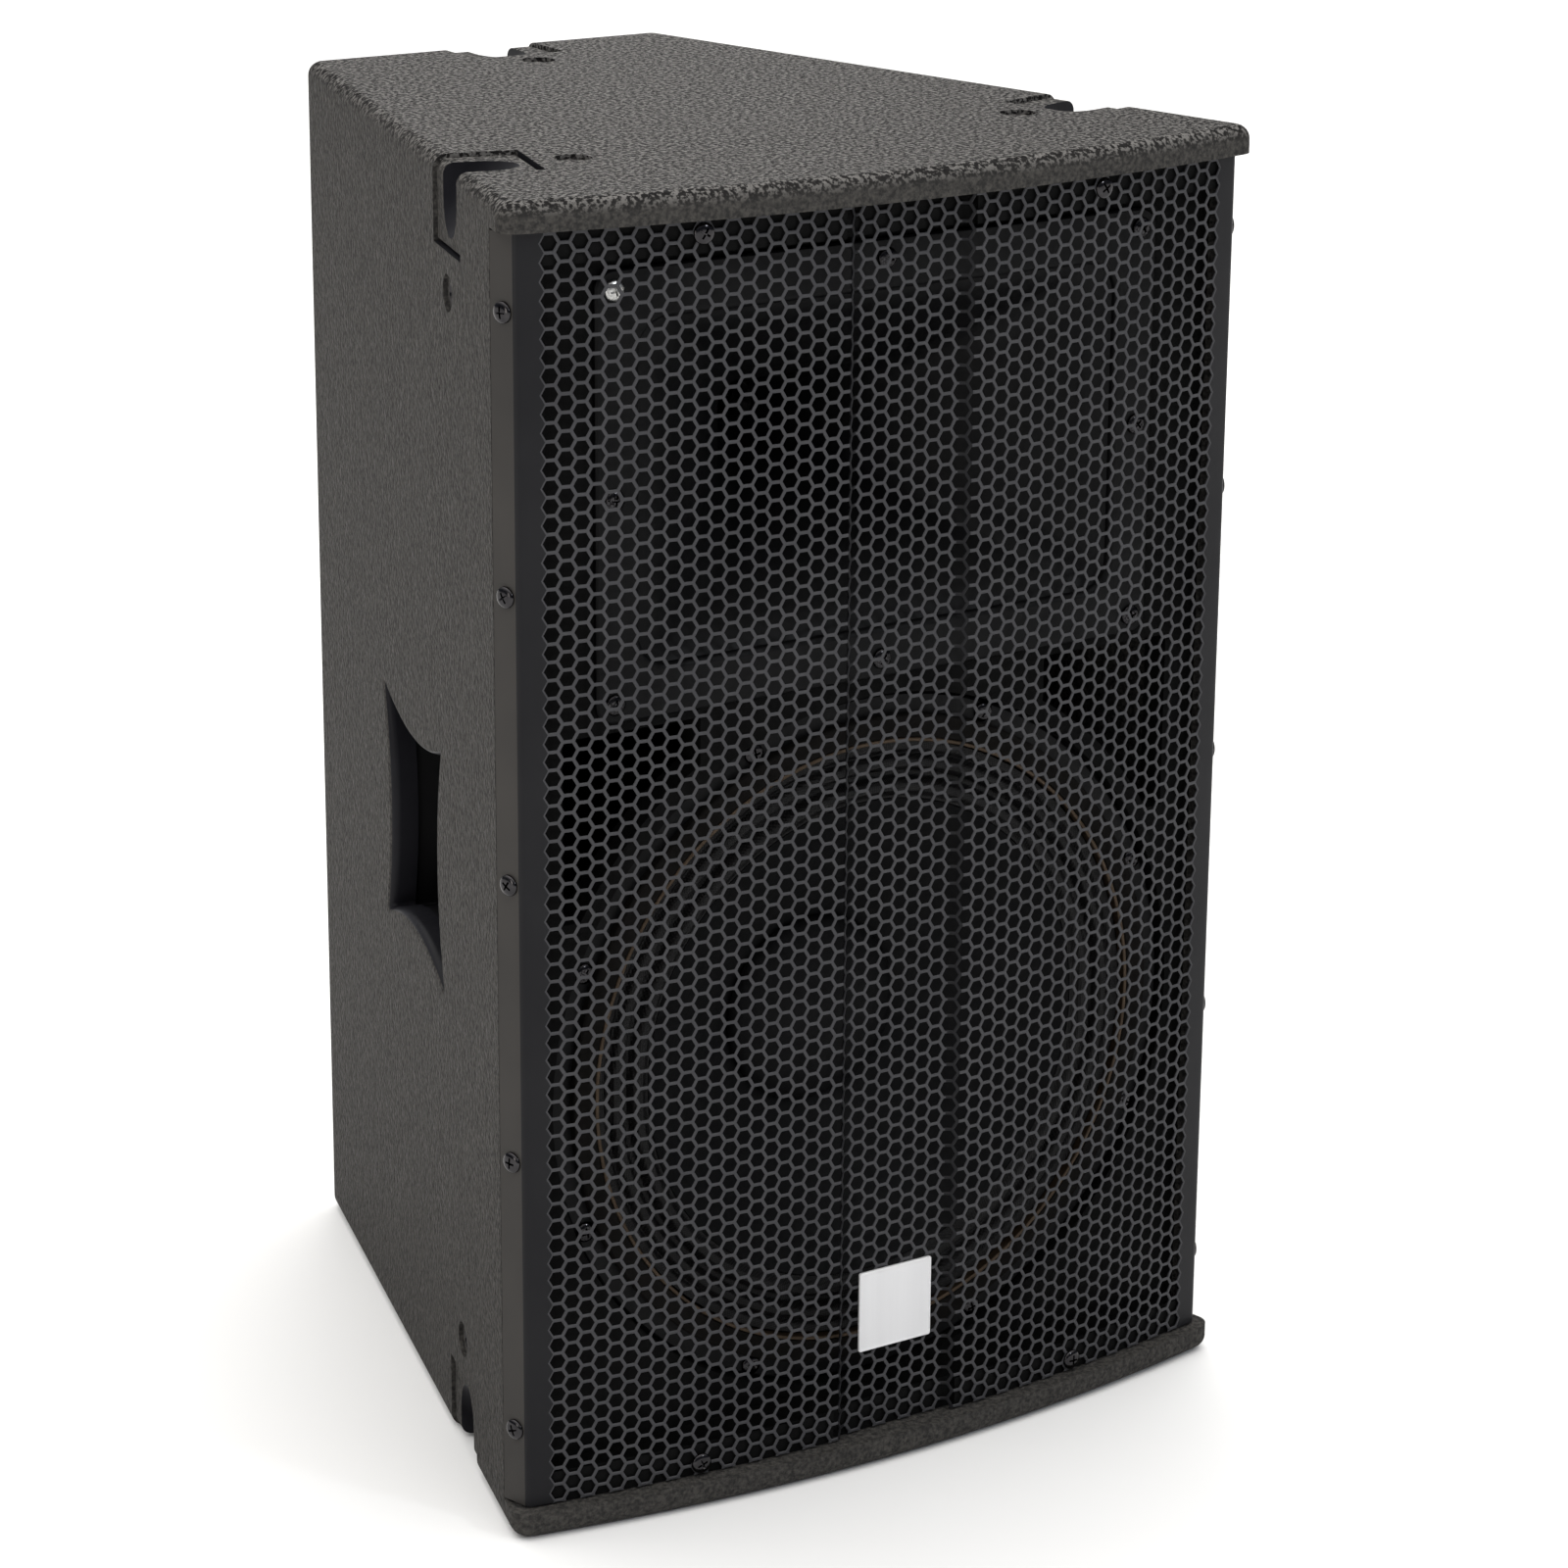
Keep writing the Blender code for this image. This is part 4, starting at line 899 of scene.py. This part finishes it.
def grille():
    """The perforated sheet with its thickness. Its flanges and bars get lighter copies of the powder coat as
    painted light; the channel's sloping sides and the margins keep the plain coat.
    """
    sheet = Sheet()
    bm = perforated_net(sheet)
    piece = new_object("grille_perforated", bm, POWDER)
    thick = piece.modifiers.new("thickness", "SOLIDIFY")
    thick.thickness = SHEET
    thick.offset = -1.0
    settle(piece)
    shade(piece, 24)
    for finish in (POWDER_FLANGE_PAINTED_LIGHT, POWDER_BARS_PAINTED_HIGHLIGHT):
        piece.data.materials.append(finish)
    last = sheet.at(HOLE_COLUMNS * HOLE_SPACING + HOLE_R * 0.98, 0.0)[0]
    channel_edge = CHANNEL_HALF + CHANNEL_SLOPE + 0.0005
    bend_x, bend_y = on_side(1, *FLANGE_BEND)
    # Painted light: the flanges take the lit copy of the coat, the bars the copy with painted highlight.
    for face in piece.data.polygons:
        x = abs(face.center.x)
        if x > bend_x + 0.0010 and face.center.y > bend_y - 0.0002:
            face.material_index = 1
        elif x < last and not CHANNEL_HALF - 0.0005 < x < channel_edge:
            face.material_index = 2
    stand_in(piece, "powder_coat", "grille")


def grille_screws():
    """Seat, outward direction and node of every grille screw."""
    places = []
    for side, word in ((-1, "left"), (1, "right")):
        bend = Vector(on_side(side, *FLANGE_BEND))
        end = Vector(on_side(side, *FLANGE_END))
        seat = (bend + end) / 2
        run = (end - bend).normalized()
        outward = Vector((run.y, -run.x)) * side
        for i, z in enumerate(SIDE_SCREW_Z):
            places.append((f"grille_screw_{word}_{i + 1}", Vector((*seat, z)), Vector((*outward, 0))))
    levels = (FRONT_SCREW_IN, HEIGHT - FRONT_SCREW_IN)
    spots = [(x, z) for z in levels for x in (-FRONT_SCREW_X, FRONT_SCREW_X)]
    for i, (x, z) in enumerate(spots):
        slope = (grille_y(x + 0.001) - grille_y(x - 0.001)) / 0.002
        outward = Vector((slope, -1, 0)).normalized()
        places.append((f"grille_screw_front_{i + 1}", Vector((x, grille_y(x), z)), outward))
    return places


def badge():
    """A square metal badge with a raised rim and nothing on its face."""
    half = BADGE_SIZE / 2
    y = grille_y(0) + CHANNEL_DEPTH - 0.0003

    def ring(inset, depth, radius):
        return [(x, y - depth, BADGE_HEIGHT + z) for x, z in
                rounded_rectangle(half - inset, half - inset, radius, 5)]

    rings = [ring(0.0, 0.0, 0.0012), ring(0.0, 0.0012, 0.0012), ring(0.0003, 0.0015, 0.0010),
             ring(0.0011, 0.0015, 0.0008), ring(0.0013, 0.0013, 0.0007)]
    plate = new_object("badge_blank", solid(rings), SILVER)
    weighted(plate, 30)
    stand_in(plate, "badge_metal", "badge")


# ---- horn ----
def horn():
    """The moulded flare, with a rounded mouth and a stepped flange."""
    throat = HORN_FACE + HORN_LENGTH
    wall = 0.004
    steps = 22

    def ring(half_x, half_z, radius, y):
        return [(x, y, HORN_Z + z) for x, z in rounded_rectangle(half_x, half_z, radius, 12)]

    def flare(grow, t):
        wide = THROAT_R + (HORN_MOUTH[0] - THROAT_R) * (0.55 * t + 0.45 * t ** 3) + grow
        tall = THROAT_R + (HORN_MOUTH[1] - THROAT_R) * (0.45 * t + 0.55 * t ** 3) + grow
        radius = min(THROAT_R + 0.004 * t + grow, wide, tall) - 0.00001
        return ring(wide, tall, radius, HORN_FACE + HORN_LENGTH * (1 - t))

    back = HORN_FACE + 0.004
    rings = [ring(*HORN_FLANGE, 0.010, back), ring(*HORN_FLANGE, 0.010, HORN_FACE + 0.001),
             ring(HORN_FLANGE[0] - 0.001, HORN_FLANGE[1] - 0.001, 0.009, HORN_FACE)]
    lip = 0.0035
    for sine, cosine in quarter(4):
        grow = lip * (1 - sine)
        rings.append(ring(HORN_MOUTH[0] + grow, HORN_MOUTH[1] + grow, THROAT_R + 0.004 + grow,
                          HORN_FACE + lip * (1 - cosine)))
    rings += [flare(0.0, 1 - i / steps) for i in range(1, steps + 1)]
    rings += [ring(0.036, 0.036, 0.0359, throat), ring(0.036, 0.036, 0.0359, throat - 0.006)]
    rings += [flare(wall, i / steps) for i in range(2, steps - 1)]
    rings += [ring(HORN_MOUTH[0] + wall, HORN_MOUTH[1] + wall, THROAT_R + 0.008, back)]
    shape = new_object("horn_flare", solid(rings, cyclic=True), PLASTIC)
    weighted(shape, 32)
    stand_in(shape, "black_plastic", "horn")


# ---- woofer ----
def woofer_piece(name, points, made_of, body, slot_name, node, closed=True, **sector):
    profile = [(radius, WOOFER_SEAT + depth) for radius, depth in points]
    piece = new_object(name, turned(profile, (0, WOOFER_Z), closed, **sector), made_of)
    shade(piece, 32)
    if body:
        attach(piece, body)
    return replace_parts(piece, node)


def woofer_frame():
    """The pressed frame: a flat rim, a tapering bowl with six windows, and the motor's seat."""
    points = [(0.166, -0.0034), (0.1666, -0.004), (0.1900, -0.004), (0.1909, -0.0032), (0.1909, 0.0),
              (0.1740, 0.0), (0.1725, 0.024), (0.092, 0.082), (0.090, 0.094), (0.043, 0.094), (0.043, 0.090),
              (0.0865, 0.090), (0.0865, 0.079), (0.166, 0.021)]
    bowl = woofer_piece("woofer_frame", points, CAST, None, "cast_frame", "woofer_basket")
    cutters = []
    for i in range(6):
        turn = Matrix.Rotation(math.radians(30 + 60 * i), 4, "Y")
        window = [[(x, 0.030, -half), (x, 0.072, -half), (x, 0.072, half), (x, 0.030, half)]
                  for half, x in ((0.026, 0.095), (0.055, 0.185))]
        cutters.append(moved(solid(window), Matrix.Translation((0, WOOFER_SEAT, WOOFER_Z)) @ turn))
    cut(bowl, cutters)
    shade(bowl, 32)
    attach(bowl, "cabinet")


def corrugated(knots, thickness):
    """A closed ring section through the knots (radius, depth), smoothed."""
    radii, depths = zip(*knots)
    fine = np.linspace(radii[0], radii[-1], 60)
    height = np.interp(fine, radii, depths)
    kernel = np.array([1, 3, 5, 3, 1]) / 13
    padded = np.pad(height, 2, mode="edge")
    height = np.convolve(padded, kernel, "valid")
    front = [(float(r), float(d)) for r, d in zip(fine, height)]
    return front + [(r, d + thickness) for r, d in reversed(front)]


def bending_ring(name, node, knots, thickness, made_of):
    """A corrugated ring in sectors, each spanning its own radius between the cabinet and the cone."""
    sectors = 16
    section = corrugated(knots, thickness)
    inner = knots[0][0]
    outer = knots[-1][0]
    for i in range(sectors):
        start = 360.0 / sectors * i
        middle = math.radians(start + 180.0 / sectors)
        piece = woofer_piece(f"{name}_{i + 1:02d}", section, made_of, None, "surround_cloth", node, steps=8,
                             start=start, sweep=360.0 / sectors)
        ends = [(radius * math.cos(middle), WOOFER_SEAT, WOOFER_Z + radius * math.sin(middle))
                for radius in (inner, outer)]
        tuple(ends[0])
        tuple(ends[1])
        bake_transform(piece)


def woofer():
    woofer_frame()
    woofer_piece("woofer_gasket_ring", [(0.1680, -0.0043), (0.1680, -0.0088), (0.1686, -0.0093),
                                        (0.1792, -0.0093), (0.1800, -0.0085), (0.1800, -0.0043)],
                 GASKET, "cabinet", "gasket", "woofer_gasket")
    woofer_piece("woofer_rim_edge", [(0.1656, -0.0041), (0.1656, -0.0089), (0.1660, -0.0093),
                                     (0.1672, -0.0093), (0.1676, -0.0089), (0.1676, -0.0041)],
                 RIM, "cabinet", "zinc_steel", "woofer_gasket")
    rolls = [(0.1335, -0.0030), (0.1352, -0.0034), (0.1384, -0.0074), (0.1424, -0.0070), (0.1452, -0.0008),
             (0.1484, -0.0010), (0.1512, -0.0074), (0.1552, -0.0070), (0.1580, -0.0018), (0.1600, -0.0046),
             (0.1645, -0.0050)]
    bending_ring("woofer_surround_part", "woofer_surround", rolls, 0.0009, SURROUND)
    pleats = [(0.0395 + 0.046 * i / 12, 0.072 + (0.0025 if i % 2 else -0.0025)) for i in range(13)]
    bending_ring("woofer_spider_part", "woofer_spider", pleats, 0.0008, SPIDER)

    steps = 28
    front = []
    for i in range(steps + 1):
        t = i / steps
        front.append((0.1330 - 0.0935 * t, -0.003 + 0.064 * (t + 0.12 * t * (1 - t))))
    cone = front + [(radius, depth + 0.0016) for radius, depth in reversed(front)]
    woofer_piece("woofer_cone_paper", cone, CONE, "woofer_cone_assembly", "cone_paper", "woofer_cone")
    reach, rise, edge = 0.052, 0.016, 0.0525
    outer = [(reach * sine, edge - 0.0006 - rise * cosine) for sine, cosine in quarter(16)]
    cap = outer + [(radius * 0.98, depth + 0.0007) for radius, depth in reversed(outer)]
    woofer_piece("woofer_dust_dome", cap, CONE, "woofer_cone_assembly", "cone_paper", "woofer_dust_cap",
                 closed=False)


# ---- rear connectors ----
def connector_plate():
    """The pressed steel dish, its edges rolled, pierced for the sockets."""
    wide, tall = DISH_OPENING
    inside = [(-0.0060, 0.0060, DISH_DEPTH), (-0.0035, 0.0075, DISH_DEPTH - 0.0007),
              (-0.0026, 0.0080, DISH_DEPTH - 0.0030), (-0.0004, 0.0098, 0.0024), (0.0004, 0.0100, 0.0010),
              (0.0016, 0.0110, 0.0004)]
    outside = [(0.0022, 0.0120, 0.0004 + SHEET), (-0.0008, 0.0100, DISH_DEPTH + SHEET)]
    rings = [rear_ring(wide + grow, tall + grow, corner, depth) for grow, corner, depth in inside]
    rings += [rear_ring(DISH_FLANGE[0] - 0.0004, DISH_FLANGE[1] - 0.0004, 0.0058, 0.0004),
              rear_ring(*DISH_FLANGE, 0.006, 0.0008), rear_ring(*DISH_FLANGE, 0.006, 0.0004 + SHEET)]
    rings += [rear_ring(wide + grow, tall + grow, corner, depth) for grow, corner, depth in outside]
    plate = new_object("connector_dish", solid(rings), POWDER)
    cut(plate, [cylinder((x, REAR_Y - DISH_DEPTH + 0.003, DISH_Z), (x, REAR_Y - DISH_DEPTH - 0.006, DISH_Z),
                         0.0121, 64) for x in (-SOCKET_X, SOCKET_X)])
    weighted(plate, 35)
    stand_in(plate, "powder_coat", "connector_plate")


def speaker_socket(name, x):
    """A round locking socket: square flange, raised collar, keyed bore, contact ring and floor."""
    face = REAR_Y - DISH_DEPTH + 0.0003

    def ring(half_x, half_z, radius, height):
        outline = rounded_rectangle(half_x, half_z, radius, 12)
        return [(x + px, face + height, DISH_Z + pz) for px, pz in outline]

    def collar(*steps):
        return [ring(radius, radius, radius - 0.0001, height) for radius, height in steps]

    body = collar((0.0116, -0.0225), (0.0116, 0.0))
    body += [ring(0.013, 0.0155, 0.003, 0.0), ring(0.013, 0.0155, 0.003, 0.0018),
             ring(0.0125, 0.0150, 0.0026, 0.0023)]
    body += collar((0.0112, 0.0023), (0.0110, 0.0030), (0.0100, 0.0030), (0.0097, 0.0026), (0.0096, -0.0178))
    socket = new_object(f"{name}_body", solid(body), PLASTIC)
    core = turned([(0.0, face - 0.0180), (0.0, face - 0.0030), (0.0042, face - 0.0030),
                   (0.0048, face - 0.0036), (0.0048, face - 0.0180)], (x, DISH_Z), False, 48)
    keys = []
    for turn in (0, 180):
        key = solid([[(-0.0016, a, -0.002), (0.0016, a, -0.002), (0.0016, a, 0.0018), (-0.0016, a, 0.0018)]
                     for a in (-0.0150, 0.0040)])
        place = Matrix.Translation((x, face, DISH_Z)) @ Matrix.Rotation(math.radians(turn), 4, "Y")
        keys.append(moved(key, place @ Matrix.Translation((0, 0, 0.0098))))
    cut(socket, keys)
    cut(socket, [core], "UNION")
    weighted(socket, 35)
    stand_in(socket, "black_plastic", name)


# ---- assembly ----
def finish_cad_nodes():
    """Gives the CAD nodes that stay their procedural finishes."""
    slots = {entry["node"]: entry["material_slot"] for entry in frame["record"]["subparts"]}
    for name, node in frame["nodes"].items():
        finish = SPIDER if name == "woofer_spider" else FINISHES[slots[name]]
        node.data.materials.clear()
        node.data.materials.append(finish)


def soft_light(name, place, target, size, power, colour):
    lamp = bpy.data.lights.new(name, "AREA")
    lamp.shape = "RECTANGLE"
    lamp.size, lamp.size_y = size
    lamp.energy = power
    lamp.color = colour
    light = linked(name, lamp)
    light.location = place
    light.rotation_euler = (Vector(target) - Vector(place)).to_track_quat("-Z", "Y").to_euler()


def sky(tree):
    """Soft light from all round: brighter above and behind, dimmer and cooler in front."""
    place = tree.nodes.new("ShaderNodeTexCoord").outputs["Generated"]
    towards = tree.nodes.new("ShaderNodeVectorMath")
    towards.operation = "DOT_PRODUCT"
    towards.inputs[1].default_value = (0.0, 0.10, 0.95)
    tree.links.new(place, towards.inputs[0])
    bright = tree.nodes.new("ShaderNodeMapRange")
    bright.interpolation_type = "SMOOTHSTEP"
    for end, value in (("From Min", 0.22), ("From Max", 0.95)):
        bright.inputs[end].default_value = value
    tree.links.new(towards.outputs["Value"], bright.inputs["Value"])
    tone = tree.nodes.new("ShaderNodeMix")
    tone.data_type = "RGBA"
    tone.inputs[6].default_value = (0.13, 0.14, 0.17, 1)
    tone.inputs[7].default_value = (2.35, 2.32, 2.26, 1)
    tree.links.new(bright.outputs["Result"], tone.inputs[0])
    tree.links.new(tone.outputs[2], tree.nodes["Background"].inputs["Color"])


def studio():
    world = bpy.data.worlds.new("studio")
    world.use_nodes = True
    sky(world.node_tree)
    bpy.context.scene.world = world
    bm = bmesh.new()
    bmesh.ops.create_grid(bm, x_segments=1, y_segments=1, size=60.0)
    floor_paint = Nodes("floor_finish", (0.86, 0.86, 0.86), 0.8, specular=0.1)
    patches = floor_paint.ramp(floor_paint.noise(2.0, 3.0), 0.3, 0.7)
    floor_paint.colour(floor_paint.mix(patches, (0.87, 0.87, 0.87), (0.89, 0.89, 0.89)))
    floor = new_object("floor", bm, floor_paint.material)
    floor.location.z = -0.0005
    soft_light("top_box", (0.3, 0.6, 2.4), (0, 0.05, 0.7), (1.0, 1.0), 9.0, (1.0, 0.98, 0.96))
    soft_light("glint_box", (1.45, 2.6, 1.45), (0, 0, 0.68), (1.0, 0.22), 7.5, (1.0, 0.99, 0.97))
    soft_light("left_box", (-2.45, -0.9, 0.85), (0, 0, 0.30), (0.7, 0.9), 8.0, (1.0, 0.94, 0.86))
    soft_light("front_box", (1.4, -3.2, 2.2), (0, 0, 0.55), (0.30, 0.30), 18.0, (0.90, 0.95, 1.0))


def camera():
    lens = bpy.data.cameras.new("camera")
    lens.lens = EYE_LENS
    lens.sensor_width = 36.0
    lens.shift_y = -0.10
    yaw, pitch, roll = (math.radians(turn) for turn in EYE_TURNS)
    forward = Vector((math.sin(yaw) * math.cos(pitch), math.cos(yaw) * math.cos(pitch), -math.sin(pitch)))
    level = Vector((math.cos(yaw), -math.sin(yaw), 0))
    upright = level.cross(forward)
    right = level * math.cos(roll) + upright * math.sin(roll)
    above = upright * math.cos(roll) - level * math.sin(roll)
    eye = linked("camera", lens)
    eye.matrix_world = frame_of(EYE, right, above, -forward)
    bpy.context.scene.camera = eye


def main():
    finish_cad_nodes()
    cabinet_shell()
    for name, matrix in rigging_frames():
        rigging_plate(f"rigging_plate_{name}", matrix)
        rigging_bracket(f"rigging_bracket_{name}", matrix)
    for side, word in ((-1, "left"), (1, "right")):
        handle_pocket(f"handle_pocket_{word}", side)
    grille()
    black_head = pan_head("black_pan_head", SCREW_HEAD_R, SCREW_HEAD_H, SCREW_BLACK)
    zinc_head = pan_head("zinc_pan_head", SCREW_HEAD_R, SCREW_HEAD_H, ZINC)
    small_head = pan_head("small_pan_head", 0.0030, 0.0015, SCREW_BLACK)
    for i, (node, seat, outward) in enumerate(grille_screws()):
        place_screw(f"{node}_head", black_head, seat, outward, 0.4 + 1.1 * i, "black_screw", node)
    badge()
    horn()
    spots = [(across * HORN_SCREW_X, HORN_Z + up * HORN_SCREW_RISE)
             for up in (1, 0, -1) for across in (-1, 0, 1) if across or up]
    for i, (x, z) in enumerate(spots):
        head, slot_name = (black_head, "black_screw") if i else (zinc_head, "zinc_steel")
        place_screw(f"horn_screw_{i + 1}", head, (x, HORN_FACE, z), (0, -1, 0), 0.3 + 0.9 * i, slot_name)
    woofer()
    for i in range(8):
        angle = math.radians(22.5 + 45 * i)
        x = WOOFER_SCREW_R * math.cos(angle)
        spot = (x, WOOFER_SEAT - 0.004, WOOFER_Z + WOOFER_SCREW_R * math.sin(angle))
        place_screw(f"woofer_screw_{i + 1}", black_head, spot, (0, -1, 0), 0.2 + 0.8 * i, "black_screw")
    connector_plate()
    for x, word in ((-SOCKET_X, "a"), (SOCKET_X, "b")):
        speaker_socket(f"speaker_socket_{word}", x)
        for k, way in enumerate((1, -1)):
            spot = (x + way * SOCKET_SCREW[0], REAR_Y - DISH_DEPTH + 0.0026, DISH_Z + way * SOCKET_SCREW[1])
            place_screw(f"socket_{word}_screw_{k + 1}", small_head, spot, (0, 1, 0), 0.5, "black_screw")
    for i, (across, up) in enumerate((a, b) for a in (-1, 1) for b in (-1, 1)):
        spot = (across * DISH_SCREW[0], REAR_Y - 0.0016, DISH_Z + up * DISH_SCREW[1])
        place_screw(f"dish_screw_{i + 1}", small_head, spot, (0, 1, 0), 0.7 * i, "black_screw")
    studio()
    camera()
    bpy.context.scene.view_settings.view_transform = "Standard"


main()
